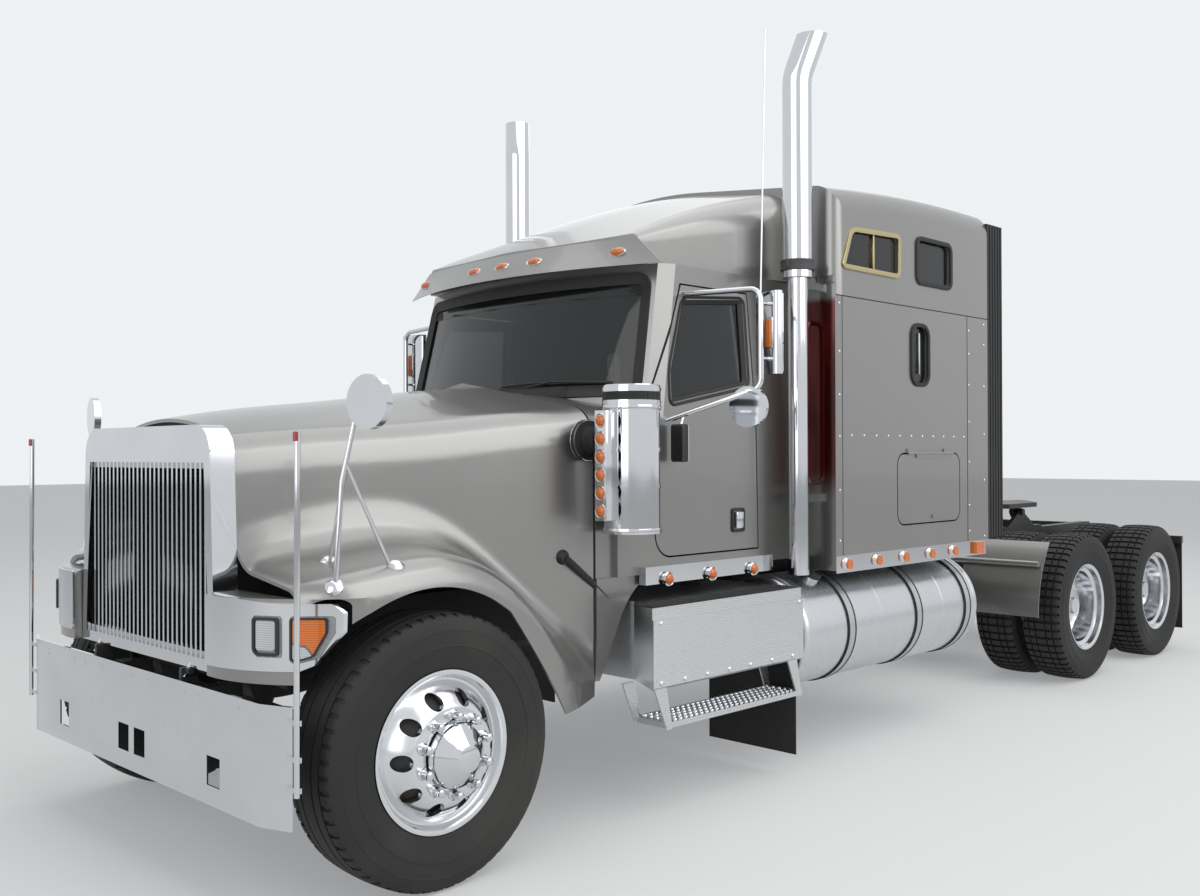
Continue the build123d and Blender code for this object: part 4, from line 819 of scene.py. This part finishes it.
# Sleeper side: window rims, seams and rivets on the flat of the panel, (along, height) corners
sleeperSide = {
    "panelX": 1.2,
    "proud": 0.003,
    "brassRing": ((2.500, 2.540), (3.080, 2.540), (3.085, 2.787), (2.590, 2.766)),
    "brassSize": (0.045, 0.026, 0.012),  # corner radius, width, thickness
    "brassBar": ((1.183, 2.812, 2.562), (1.201, 2.828, 2.752), 0.002),
    "rearRing": ((3.250, 2.530), (3.660, 2.530), (3.660, 2.805), (3.250, 2.805)),
    "rearSize": (0.055, 0.025, 0.012),
    "slotRing": ((3.190, 1.960), (3.395, 1.960), (3.395, 2.315), (3.190, 2.315)),
    "slotSize": (0.075, 0.022, 0.014),
    "slotBar": ((1.188, 3.286, 2.03), (1.199, 3.299, 2.26), 0.002),
    "seams": (
        ((2.462, 2.3975), (4.098, 2.4035)),
        ((3.841, 1.064), (3.846, 2.398)),
        ((2.512, 1.064), (2.516, 2.398)),
    ),
    "seamDepth": (-0.004, 0.0012),
    "seamSoft": 0.0008,
    "rivet": ((0, 0.0026), (0.0045, 0.0022), (0.0068, 0), (0.0068, -0.002), (0, -0.002)),
    "rivetRows": (
        (3.866, (2.314, 2.177, 1.992, 1.772, 1.534, 1.278, 1.123)),
        (4.055, (2.364, 2.242, 1.990, 1.700, 1.423, 1.084)),
        (2.490, (2.360, 2.112, 1.890, 1.677, 1.400, 1.141)),
    ),
    "rivetLine": (1.682, (2.60, 2.72, 2.84, 2.96, 3.08, 3.20, 3.32, 3.44, 3.56, 3.68, 3.80)),
}


def sideRing(ring, size):
    values = sleeperSide
    face = values["panelX"] + values["proud"]
    return ringPlate([at(face, along, height) for along, height in values[ring]], *values[size])


def makeSleeperSide():
    values = sleeperSide
    panelX = values["panelX"]
    brassParts = [sideRing("brassRing", "brassSize"), placed(*values["brassBar"])]
    mirrored(brassParts, "upperWindowRims", brass)
    rubber = [sideRing("rearRing", "rearSize"), sideRing("slotRing", "slotSize")]
    mirrored(rubber, "sleeperWindowRubber", sealRubber)
    mirrored([placed(*values["slotBar"])], "slotWindowBars", alloy)
    sunk, proud = values["seamDepth"]
    seams = [
        placed((panelX + sunk, *low), (panelX + proud, *high), values["seamSoft"])
        for low, high in values["seams"]
    ]
    mirrored(seams, "sleeperSeams", sealRubber)
    head = spun(values["rivet"], (0, 0, 0), (1, 0, 0), 10)
    places = [at(panelX, along, height) for along, heights in values["rivetRows"] for height in heights]
    height, alongs = values["rivetLine"]
    places += [at(panelX, along, height) for along in alongs]
    mirrored([scattered(head, places)], "sleeperRivets", alloy)


# Mirrors: glass on the rear of each head, an amber lamp on the front of the tall ones
mirrors = {
    "head": (1.347, 1.693, 2.137),
    "turn": -17,
    "glass": ((-0.072, 0.0225, -0.177), (0.072, 0.0262, 0.177), 0.001),  # corners from the head, softness
    "divider": ((-0.0755, 0.0221, -0.052), (0.0755, 0.0285, -0.046), 0.0008),
    "lamp": ((0.005, -0.034, -0.065), (0.052, -0.022, 0.062), 0.006, 3),
    "lampRim": ((-0.001, -0.0262, -0.071), (0.058, -0.0215, 0.068), 0.002),
    "roundFacing": (-0.2, 1, 0),
    "lowRound": (1.300, 1.600, 1.802),
    "lowSetback": 0.012,
    "lowGlass": ((0, 0.0022), (0.05, 0.0018), (0.086, 0.0004), (0.086, -0.003), (0, -0.003)),
    "lowEdge": (
        (0.086, -0.004), (0.086, 0.001), (0.089, 0.003), (0.0925, 0.001), (0.0925, -0.004), (0.086, -0.004),
    ),
    "padGlass": ((0.990, 1.465, 1.572), (1.056, 1.468, 1.706), 0.001),
    "padShell": ((0.982, 1.421, 1.553), (1.063, 1.4655, 1.727), 0.012, 4),
    "hoodRound": (1.165, -0.340, 1.775),
    "hoodSetback": 0.015,
    "hoodGlass": ((0, 0.0022), (0.05, 0.0018), (0.087, 0.0004), (0.087, -0.003), (0, -0.003)),
    "feet": ((1.075, -0.424), (1.090, -0.180), (0.850, -0.310)),
    "feetFrom": 2.2,
    "foot": ((0, 0.016), (0.012, 0.016), (0.024, 0.010), (0.032, 0.003), (0.034, -0.004), (0, -0.004)),
}


def turnedTo(piece, place, turn):
    only(piece)
    piece.rotation_euler = (0, 0, math.radians(turn))
    piece.location = place
    bpy.ops.object.transform_apply(location=True, rotation=True, scale=True)
    return piece


def makeMirrors():
    values = mirrors
    headPlace = at(*values["head"])
    glass, divider, lamp, rim = (
        turnedTo(block(*values[key]), headPlace, values["turn"])
        for key in ("glass", "divider", "lamp", "lampRim")
    )
    away = Vector(values["roundFacing"]).normalized()
    centre = at(*values["lowRound"]) + away * values["lowSetback"]
    lowRound = spun(values["lowGlass"], centre, away, 40)
    lowEdge = spun(values["lowEdge"], centre, away, 40)
    padGlass, padShell = placed(*values["padGlass"]), placed(*values["padShell"])
    for pieces, name, finish, slotName in (
        ([glass, lowRound, padGlass], "doorMirrorGlass", mirrorGlass, "chrome"),
        ([divider, lowEdge, padShell], "doorMirrorRubber", blackPlastic, "seal_rubber"),
        ([lamp], "doorMirrorLamp", amber, "amber_lens"),
        ([rim], "doorMirrorLampRim", chrome, "chrome"),
    ):
        oneEachSide(joined(pieces), name, finish, "door_")
    centre = at(*values["hoodRound"]) + away * values["hoodSetback"]
    mirrored([spun(values["hoodGlass"], centre, away, 40)], "hoodMirrorGlass", mirrorGlass, "hood")
    feet = []
    for across, along in values["feet"]:
        spot, facing = touch("hood_shell", at(across, along, values["feetFrom"]), (0, 0, -1))
        feet.append(spun(values["foot"], spot, facing, 24))
    mirrored(feet, "hoodMirrorFeet", chrome, "hood")


# Air cleaner: perforated band under the cap, black ribbed boot from the hood, clamps
cleaner = {
    "foot": (1.082, 1.058, 0),
    "band": ((0.1262, 1.822), (0.1262, 1.858), (0.1235, 1.858), (0.1235, 1.822), (0.1262, 1.822)),
    "boot": (0.948, 0.905, 1.650),
    "bootMouth": (
        (0, -0.0005), (0.080, -0.0005), (0.0895, 0.006), (0.0900, 0.022), (0.0840, 0.029), (0.0640, 0.031),
    ),
    "rib": ((0.0540, 0), (0.0605, 0.004), (0.0605, 0.007), (0.0540, 0.011)),
    "firstRib": 0.036,
    "ribPitch": 0.013,
    "ribs": 5,
    "bootEnd": ((0.0540, 0.104), (0, 0.104)),
    "rings": (  # height, inner and outer radius, half the width
        (1.262, 0.1225, 0.1285, 0.012), (1.790, 0.1225, 0.1290, 0.010), (1.883, 0.05, 0.1180, 0.006),
    ),
    "ringCrown": 0.002,
}


def makeCleaners():
    values = cleaner
    foot = at(*values["foot"])
    mirrored([spun(values["band"], foot, (0, 0, 1), 48)], "cleanerBands", screen)
    boot = list(values["bootMouth"])
    for rib in range(values["ribs"]):
        along = values["firstRib"] + rib * values["ribPitch"]
        boot += [(away, along + step) for away, step in values["rib"]]
    boot += values["bootEnd"]
    mirrored([spun(boot, at(*values["boot"]), (1, 0, 0), 40)], "cleanerBoots", sealRubber)
    rings = []
    for height, inner, outer, half in values["rings"]:
        ring = [(inner, height - half), (outer, height - half), (outer + values["ringCrown"], height)]
        ring += [(outer, height + half), (inner, height + half), (inner, height - half)]
        rings.append(spun(ring, foot, (0, 0, 1), 48))
    mirrored(rings, "cleanerRings", chrome)


# Tanks: end welds, rubber beside the straps, black filler caps
tank = {
    "centre": (0.905, 0, 0.675),
    "welds": (2.248, 3.932, 2.905, 3.560),
    "weld": ((0.2895, -0.005), (0.2915, -0.003), (0.2915, 0.003), (0.2895, 0.005), (0.2895, -0.005)),
    "straps": (2.600, 3.280, 3.840),
    "strapEdge": ((0.2895, 0.0265), (0.2980, 0.0265), (0.2980, 0.0335), (0.2895, 0.0335), (0.2895, 0.0265)),
    "cap": (1.055, 2.455, 0.965),
    "capLean": (0.51, 0, 0.86),
    "capProfile": ((0, 0.020), (0.030, 0.020), (0.041, 0.016), (0.043, 0.004), (0.043, -0.012), (0, -0.012)),
    "lever": ((-0.034, -0.006, -0.002), (0.034, 0.006, 0.010), 0.003),
    "leverRise": 0.021,
}


def makeTanks():
    values = tank
    centre = at(*values["centre"])
    welds = [
        spun([(away, along + step) for away, step in values["weld"]], centre, (0, 1, 0), 72)
        for along in values["welds"]
    ]
    rubber = [
        spun([(away, strap + side * step) for away, step in values["strapEdge"]], centre, (0, 1, 0), 72)
        for strap in values["straps"] for side in (-1, 1)
    ]
    mirrored(welds, "tankWelds", tankAlloy)
    mirrored(rubber, "strapRubber", sealRubber)
    lean = Vector(values["capLean"]).normalized()
    seat = at(*values["cap"])
    cap = spun(values["capProfile"], seat, lean, 20)
    lever = block(*values["lever"])
    only(lever)
    lever.rotation_euler = lean.to_track_quat("Z", "Y").to_euler()
    lever.location = seat + lean * values["leverRise"]
    bpy.ops.object.transform_apply(location=True, rotation=True, scale=True)
    mirrored([cap, lever], "fillerCaps", blackPlastic)


# Steps: grip strip on the chest, buttons on the lower tread, bolts along the chest's face
steps = {
    "strip": ((1.060, 1.085, 0.9295), (1.184, 2.150, 0.9325), 0.001),
    "ridge": ((1.064, 1.09, 0.932), (1.070, 2.145, 0.9355), 0.001),
    "ridges": 8,
    "ridgePitch": 0.0145,
    "button": (
        (0.004, 0.0), (0.004, 0.005), (0.006, 0.007), (0.009, 0.006), (0.012, 0.0), (0.012, -0.001),
        (0.004, -0.001), (0.004, 0.0),
    ),
    "firstButton": (1.026, 1.195, 0.430),
    "buttonPitch": 0.036,
    "buttonRows": 5,
    "buttonColumns": 26,
    "bolt": ((0, 0.0062), (0.0085, 0.0062), (0.0115, 0.004), (0.0115, -0.002), (0, -0.002)),
    "boltX": 1.2,
    "boltRows": ((0.606, (1.117, 1.272, 1.426, 1.582, 1.739, 1.905, 2.072)), (0.862, (1.117, 2.130))),
}


def makeSteps():
    values = steps
    low, high, soft = values["ridge"]
    shifts = [Vector((row * values["ridgePitch"], 0, 0)) for row in range(values["ridges"])]
    ridges = [block(at(*low) + shift, at(*high) + shift, soft) for shift in shifts]
    mirrored([placed(*values["strip"])] + ridges, "chestGrips", sealRubber)
    pitch, first = values["buttonPitch"], at(*values["firstButton"])
    places = [
        first + Vector((row * pitch, column * pitch, 0))
        for row in range(values["buttonRows"]) for column in range(values["buttonColumns"])
    ]
    button = spun(values["button"], (0, 0, 0), (0, 0, 1), 10)
    mirrored([scattered(button, places)], "stepButtons", alloy)
    head = spun(values["bolt"], (0, 0, 0), (1, 0, 0), 6)
    places = [at(values["boltX"], along, height) for height, alongs in values["boltRows"] for along in alongs]
    mirrored([scattered(head, places)], "chestBolts", chrome)


# Bumper bolts and guide-rod tips
bumperFittings = {
    "bolt": ((0, 0.0012), (0.010, 0.0010), (0.014, 0.0002), (0.014, -0.002), (0, -0.002)),
    "boltRows": (
        (0.722, (-0.86, -0.561, -0.451, -0.281, 0.007, 0.150, 0.451, 0.561, 0.86)),
        (0.582, (-0.394, -0.282, 0.282, 0.394)),
    ),
    "boltsFrom": -1.2,
    "rod": (1.172, -0.628, 0),
    "tip": ((0, 1.6704), (0.007, 1.6702), (0.0102, 1.668), (0.0102, 1.640), (0.0080, 1.638), (0, 1.638)),
}


def makeBumperFittings():
    values = bumperFittings
    bolts = []
    for height, acrosses in values["boltRows"]:
        for across in acrosses:
            spot, facing = touch("bumper", at(across, values["boltsFrom"], height), (0, 1, 0))
            bolts.append(spun(values["bolt"], spot, facing, 12))
    finished(joined(bolts), "bumperBolts", chrome, "chassis")
    mirrored([spun(values["tip"], at(*values["rod"]), (0, 0, 1), 24)], "rodTips", red)


# Doors: a black-framed pull, and the hood's rubber latch ahead of them
doorPull = {
    "face": 0.9585,
    "frame": ((1.905, 1.203), (2.005, 1.203), (2.005, 1.322), (1.905, 1.322)),
    "frameSize": (0.016, 0.014, 0.011),  # corner radius, width, thickness
    "pull": ((0.966, 1.927, 1.222), (0.9745, 1.983, 1.303), 0.003),
}
hoodLatch = {
    "from": (1.6, 0.815, 1.150),
    "rise": 0.018,
    "foot": (0.004, 1.075, 0.945),  # outward from the head, along, height
    "bow": 0.006,
    "strapRadius": 0.016,
    "knob": ((0, 0.024), (0.020, 0.022), (0.030, 0.008), (0.034, -0.003), (0, -0.003)),
    "hook": ((-0.014, -0.012, -0.045), (0.010, 0.040, 0.018)),
    "hookSoft": 0.007,
}


def makeDoorPulls():
    corners = [at(doorPull["face"], along, height) for along, height in doorPull["frame"]]
    frameRing = ringPlate(corners, *doorPull["frameSize"])
    pull = placed(*doorPull["pull"])
    oneEachSide(frameRing, "doorPullFrame", blackPlastic, "door_")
    oneEachSide(pull, "doorPull", chrome, "door_")
    values = hoodLatch
    spot, facing = touch("hood_shell", at(*values["from"]), (-1, 0, 0))
    head = spot + facing * values["rise"]
    outward, along, height = values["foot"]
    foot = at(head.x + outward, along, height)
    bend = (head + foot) / 2 + Vector((values["bow"], 0, 0))
    low, high = values["hook"]
    mirrored(
        [
            bentRod([head, bend, foot], values["strapRadius"]),
            spun(values["knob"], spot, facing, 18),
            block(foot + Vector(low), foot + Vector(high), values["hookSoft"], 3),
        ],
        "hoodLatches", sealRubber, "hood",
    )


# Front wheels: dished disc with hand holes, hub cap and nut caps, (distance along the axle, radius)
frontWheel = {
    "hub": (1.017, 0.0, 0.507),
    "rim": (
        (0.1175, 0.2985), (0.1120, 0.2992), (0.1095, 0.2960), (0.1075, 0.2863), (0.0750, 0.2830),
        (0.0620, 0.2580), (-0.0620, 0.2580), (-0.0750, 0.2830), (-0.1075, 0.2863), (-0.1095, 0.2985),
        (-0.1175, 0.2985), (-0.1175, 0.2900), (-0.1095, 0.2760), (-0.0780, 0.2720), (-0.0660, 0.2470),
        (0.0580, 0.2470), (0.0920, 0.2180), (0.1395, 0.1900), (0.1475, 0.1700), (0.1475, 0.1050),
        (0.1695, 0.1050), (0.1695, 0.1690), (0.1675, 0.1760), (0.1640, 0.1830), (0.1500, 0.2010),
        (0.1160, 0.2280), (0.0900, 0.2490), (0.0840, 0.2580), (0.0850, 0.2670), (0.0920, 0.2715),
        (0.1095, 0.2760), (0.1160, 0.2820), (0.1178, 0.2900), (0.1175, 0.2985),
    ),
    "cap": (
        (0.1480, 0.0), (0.1480, 0.1045), (0.1755, 0.1045), (0.1775, 0.1180), (0.1830, 0.1210),
        (0.1900, 0.1205), (0.1960, 0.1160), (0.2060, 0.1130), (0.2200, 0.0990), (0.2300, 0.0860),
        (0.2420, 0.0740), (0.2500, 0.0640), (0.2560, 0.0560), (0.2640, 0.0480), (0.2680, 0.0300),
        (0.2690, 0.0),
    ),
    "drum": (
        (-0.0180, 0.1000), (-0.0180, 0.2220), (0.0800, 0.2220), (0.0840, 0.2150), (0.1350, 0.1740),
        (0.1450, 0.1700), (0.1450, 0.1000), (-0.0180, 0.1000),
    ),
    "nut": (
        (0.1680, 0.0), (0.1680, 0.0215), (0.1730, 0.0225), (0.1765, 0.0195), (0.1790, 0.0172),
        (0.2080, 0.0168), (0.2150, 0.0150), (0.2195, 0.0095), (0.2205, 0.0),
    ),
    "boltCircle": 0.1429,
    "holeCircle": 0.204,
    "holeRadius": 0.0300,
    "holeReach": (0.085, 0.2),
    "count": 10,
}


def ringPlaces(centre, radius, count, offset):
    turns = [2 * math.pi * (index + offset) / count for index in range(count)]
    return [centre + Vector((0, math.sin(turn) * radius, math.cos(turn) * radius)) for turn in turns]


def axleSpun(profile, centre, turns):
    return spun([(radius, along) for along, radius in profile], centre, (1, 0, 0), turns)


def drilled(piece, centres, radius, low, high):
    drills = []
    for centre in centres:
        drills.append(start(
            "cylinder", vertices=32, radius=radius, depth=high - low,
            location=centre + Vector(((low + high) / 2, 0, 0)), rotation=(0, math.pi / 2, 0),
        ))
        leaveEdit()
    cutter = joined(drills)
    modify(piece, "BOOLEAN", object=cutter, operation="DIFFERENCE", solver="EXACT")
    bpy.data.objects.remove(cutter)
    tidy(piece)
    return piece


def makeFrontWheels():
    values = frontWheel
    hub, count = at(*values["hub"]), values["count"]
    holes = ringPlaces(hub, values["holeCircle"], count, 0.5)
    disc = drilled(axleSpun(values["rim"], hub, 120), holes, values["holeRadius"], *values["holeReach"])
    cap = axleSpun(values["cap"], hub, 60)
    nut = axleSpun(values["nut"], (0, 0, 0), 16)
    nuts = scattered(nut, ringPlaces(hub, values["boltCircle"], count, 0.0))
    # The drum is black: partly the drum's own dark colour, partly painted shade inside the wheel seen through
    # the hand holes
    drum = axleSpun(values["drum"], hub, 72)
    for piece, name, finish, slotName in (
        (disc, "frontDisc", alloy, "polished_aluminium"),
        (joined([cap, nuts]), "frontCap", chrome, "chrome"),
        (drum, "frontDrum", axleBlack, "axle_black"),
    ):
        oneEachSide(piece, name, finish, "wheel_front_", "rim_front_", 24)


# Red lenses in the tail lamps, and the clamps that hold the stacks
tailLens = {
    "across": (-0.30, -0.16, 0.16, 0.30),
    "place": (7.5, 0.875),
    "profile": (
        (0, 0.0453), (0.040, 0.0452), (0.050, 0.0445), (0.0535, 0.0410), (0.0535, 0.0220), (0, 0.0220),
    ),
}
stackClamp = {
    "stack": (1.076, 2.300, 0),
    "band": (
        (0.0835, 2.516), (0.0860, 2.516), (0.0870, 2.524), (0.0850, 2.532), (0.0850, 2.554), (0.0870, 2.562),
        (0.0860, 2.569), (0.0835, 2.569), (0.0835, 2.516),
    ),
    "lug": ((1.066, 2.205, 2.522), (1.086, 2.218, 2.563), 0.003),
}


def makeTailLenses():
    along, height = tailLens["place"]
    lenses = [
        spun(tailLens["profile"], at(across, along, height), (0, 1, 0), 32) for across in tailLens["across"]
    ]
    finished(joined(lenses), "tailLenses", red, "chassis")


def makeStackClamps():
    ring = spun(stackClamp["band"], at(*stackClamp["stack"]), (0, 0, 1), 48)
    mirrored([ring, placed(*stackClamp["lug"])], "stackClamps", engineGrey)


# Wipers parked along the foot of the windshield, whose front is worked out from its foot and its rise
wiper = {
    "pivots": ((0.10, 0.74), (-0.66, -0.04)),  # across, from the pivot to the blade's tip
    "blade": (1.925, 0.012, 0.010, 0.0065),  # height, bow, gap to the glass, radius
    "root": (-0.02, 1.86, -0.03, 1.868),  # across from the pivot, glass height, gap, height
    "arm": (1.935, -0.024, 1.937, 0.0055),  # glass height, gap, height, radius
    "armBow": (0, -0.006, 0.006),
    "knob": ((0, 0.024), (0.012, 0.022), (0.015, 0.008), (0.015, -0.03), (0, -0.03)),
    "knobFacing": (0, -0.3, 1),
}
screenShape = {
    "foot": 1.76,
    "rise": 0.73,
    "half": (0.905, -0.045),  # half width, and what it gains from the foot to the top
    "middle": (1.120, 0.215),
    "edge": (1.330, 0.150),
}


def screenFront(across, height):
    share = (height - screenShape["foot"]) / screenShape["rise"]
    sizes = (screenShape[key] for key in ("half", "middle", "edge"))
    half, middle, edge = (foot + gain * share for foot, gain in sizes)
    return middle + (edge - middle) * (across / half) ** 2


def makeWipers():
    pieces = []
    for pivot, tipX in wiper["pivots"]:
        height, bow, gap, radius = wiper["blade"]
        points = []
        for share in (step / 6 for step in range(7)):
            across, rise = pivot + (tipX - pivot) * share, height + bow * math.sin(share * math.pi)
            points.append(at(across, screenFront(across, rise) - gap, rise))
        pieces.append(bentRod(points, radius))
        shift, glassHeight, gap, height = wiper["root"]
        root = at(pivot + shift, screenFront(pivot, glassHeight) + gap, height)
        glassHeight, gap, height, radius = wiper["arm"]
        across = (pivot + tipX) / 2
        reach = at(across, screenFront(across, glassHeight) + gap, height)
        pieces.append(bentRod([root, (root + reach) / 2 + Vector(wiper["armBow"]), reach], radius))
        pieces.append(spun(wiper["knob"], root, wiper["knobFacing"], 16))
    finished(joined(pieces), "wipers", blackPlastic, "chassis")


makeHeadLamps()
makeGlassRings()
makeSleeperSide()
makeMirrors()
print("lamps, glass rings and mirrors made")
makeCleaners()
makeTanks()
makeSteps()
makeBumperFittings()
makeDoorPulls()
makeFrontWheels()
makeTailLenses()
makeStackClamps()
makeWipers()
print("outside fittings made")


# Seats and bunk: cushions built up from a rounded block, swollen, then smoothed
seat = {
    "across": (("Right", -0.48), ("Left", 0.48)),
    "base": ((-0.15, 1.80, 1.086), (0.15, 2.15, 1.43), 0.02),  # corners from the seat's middle, softness
    "cushion": ((-0.25, 1.72, 1.425), (0.25, 2.19, 1.552), 0.035, 0.008, 2),  # and swell, axis of the swell
    "back": ((-0.235, 2.155, 1.555), (0.235, 2.245, 2.10), 0.03, 0.008, 1),
    "lean": 7,
    "hinge": (2.2, 1.555),
}
bunk = {
    "base": ((-1.1, 3.285, 1.095), (1.1, 4.055, 1.36), 0.01),
    "mattress": ((-1.095, 3.255, 1.355), (1.095, 4.055, 1.535), 0.04, 0.010, 2),
}


def cushion(low, high, soft, swell, axis):
    low, high = at(*low), at(*high)
    piece = block(low, high, soft, 4)
    only(piece)
    bpy.ops.object.mode_set(mode="EDIT")
    bpy.ops.mesh.select_all(action="SELECT")
    bpy.ops.mesh.subdivide(number_cuts=3)
    centre, half = (low + high) / 2, (high - low) / 2
    shape = bmesh.from_edit_mesh(piece.data)
    for vert in shape.verts:
        away = vert.co - centre
        share = 1.0
        for other in range(3):
            if other != axis:
                share *= max(0.0, 1 - (away[other] / half[other]) ** 2)
        vert.co[axis] += math.copysign(swell * share, away[axis])
    bmesh.update_edit_mesh(piece.data)
    leaveEdit()
    modify(piece, "SMOOTH", factor=0.5, iterations=6)
    modify(piece, "SUBSURF", levels=1, render_levels=1)
    return piece


def aside(shape, across):
    low, high, *rest = shape
    return ((low[0] + across, *low[1:]), (high[0] + across, *high[1:]), *rest)


def makeSeats():
    pieces = []
    for side, across in seat["across"]:
        base = placed(*aside(seat["base"], across))
        finished(base, "seatBase" + side, blackPlastic, "chassis")
        pieces.append((cushion(*aside(seat["cushion"], across)), "seatCushion" + side))
        back = cushion(*aside(seat["back"], across))
        only(back)
        hinge = at(across, *seat["hinge"])
        bpy.ops.transform.rotate(value=math.radians(seat["lean"]), orient_axis="X", center_override=hinge)
        bpy.ops.object.transform_apply(location=True, rotation=True, scale=True)
        pieces.append((back, "seatBack" + side))
    for piece, name in pieces:
        finished(piece, name, seatCloth, "chassis", 180)
        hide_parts("seats")
    bed = placed(*bunk["base"])
    finished(bed, "bunkBase", dashPlastic, "chassis")
    mattress = cushion(*bunk["mattress"])
    finished(mattress, "mattress", bedCloth, "chassis", 180)
    for piece in (mattress, bed):
        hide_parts("seats")


makeSeats()
print("seats made")


# Floor, light and background
studio = {
    "floorSize": 120,
    "floorColour": rgb(0.74, 0.74, 0.73),
    "skyColour": rgb(0.86, 0.88, 0.9),
    "skyLight": 0.42,
    "shownShare": 0.3,
}
lampTable = (  # name, place from the front axle, aim, size, watts
    ("keyLamp", (9.0, 3.0, 8.0), (0.6, 2.5, 1.2), 12.0, 760),
    ("frontLamp", (3.0, -9.5, 5.0), (0, 0, 1.2), 8.0, 300),
    ("topLamp", (0, 3.5, 11.0), (0, 3.5, 0), 12.0, 380),
    ("backLamp", (-7.0, 13.0, 7.0), (0, 5, 1.5), 9.0, 120),
)


# What the camera sees straight, in metal and through glass is shown at its own plain strength
def shownTo(tree, plain, shown, share):
    rays = tree.nodes.new("ShaderNodeLightPath")
    seen = rays.outputs["Is Camera Ray"]
    for also in ("Is Glossy Ray", "Is Transmission Ray"):
        both = tree.nodes.new("ShaderNodeMath")
        tree.links.new(seen, both.inputs[0])
        tree.links.new(rays.outputs[also], both.inputs[1])
        seen = both.outputs[0]
    part = tree.nodes.new("ShaderNodeMath")
    part.operation = "MULTIPLY"
    part.inputs[1].default_value = share
    tree.links.new(seen, part.inputs[0])
    mix = tree.nodes.new("ShaderNodeMixShader")
    tree.links.new(part.outputs[0], mix.inputs[0])
    tree.links.new(plain, mix.inputs[1])
    tree.links.new(shown, mix.inputs[2])
    return mix.outputs[0]


def makeStudio(values):
    bpy.ops.object.select_all(action="DESELECT")
    bpy.ops.mesh.primitive_plane_add(size=values["floorSize"], location=(0, 0, 0))
    floor = bpy.context.object
    floor.name = "floor"
    floorFinish = Finish("paleFloor", colour=values["floorColour"], roughness=0.8, specular=0.2)
    floor.data.materials.append(floorFinish.material)
    tree = floorFinish.material.node_tree
    surface = tree.nodes["Material Output"].inputs["Surface"]
    glow = tree.nodes.new("ShaderNodeEmission")
    glow.inputs["Color"].default_value = values["skyColour"]
    lit = surface.links[0].from_socket
    tree.links.new(shownTo(tree, lit, glow.outputs[0], values["shownShare"]), surface)
    for name, place, aim, size, watts in lampTable:
        light = bpy.data.lights.new(name, "AREA")
        light.size = size
        light.energy = watts
        lamp = bpy.data.objects.new(name, light)
        lamp.visible_camera = False
        bpy.context.scene.collection.objects.link(lamp)
        lamp.location = at(*place)
        lamp.rotation_euler = (at(*aim) - at(*place)).to_track_quat("-Z", "Y").to_euler()
    world = bpy.data.worlds.new("studioSky")
    bpy.context.scene.world = world
    world.use_nodes = True
    tree = world.node_tree
    light = tree.nodes["Background"]
    light.inputs["Color"].default_value = values["skyColour"]
    light.inputs["Strength"].default_value = values["skyLight"]
    shown = tree.nodes.new("ShaderNodeBackground")
    shown.inputs["Color"].default_value = values["skyColour"]
    shown.inputs["Strength"].default_value = 1
    surface = tree.nodes["World Output"].inputs["Surface"]
    tree.links.new(shownTo(tree, light.outputs[0], shown.outputs[0], 1), surface)
    bpy.context.scene.view_settings.view_transform = "Standard"


makeStudio(studio)
print("studio set")
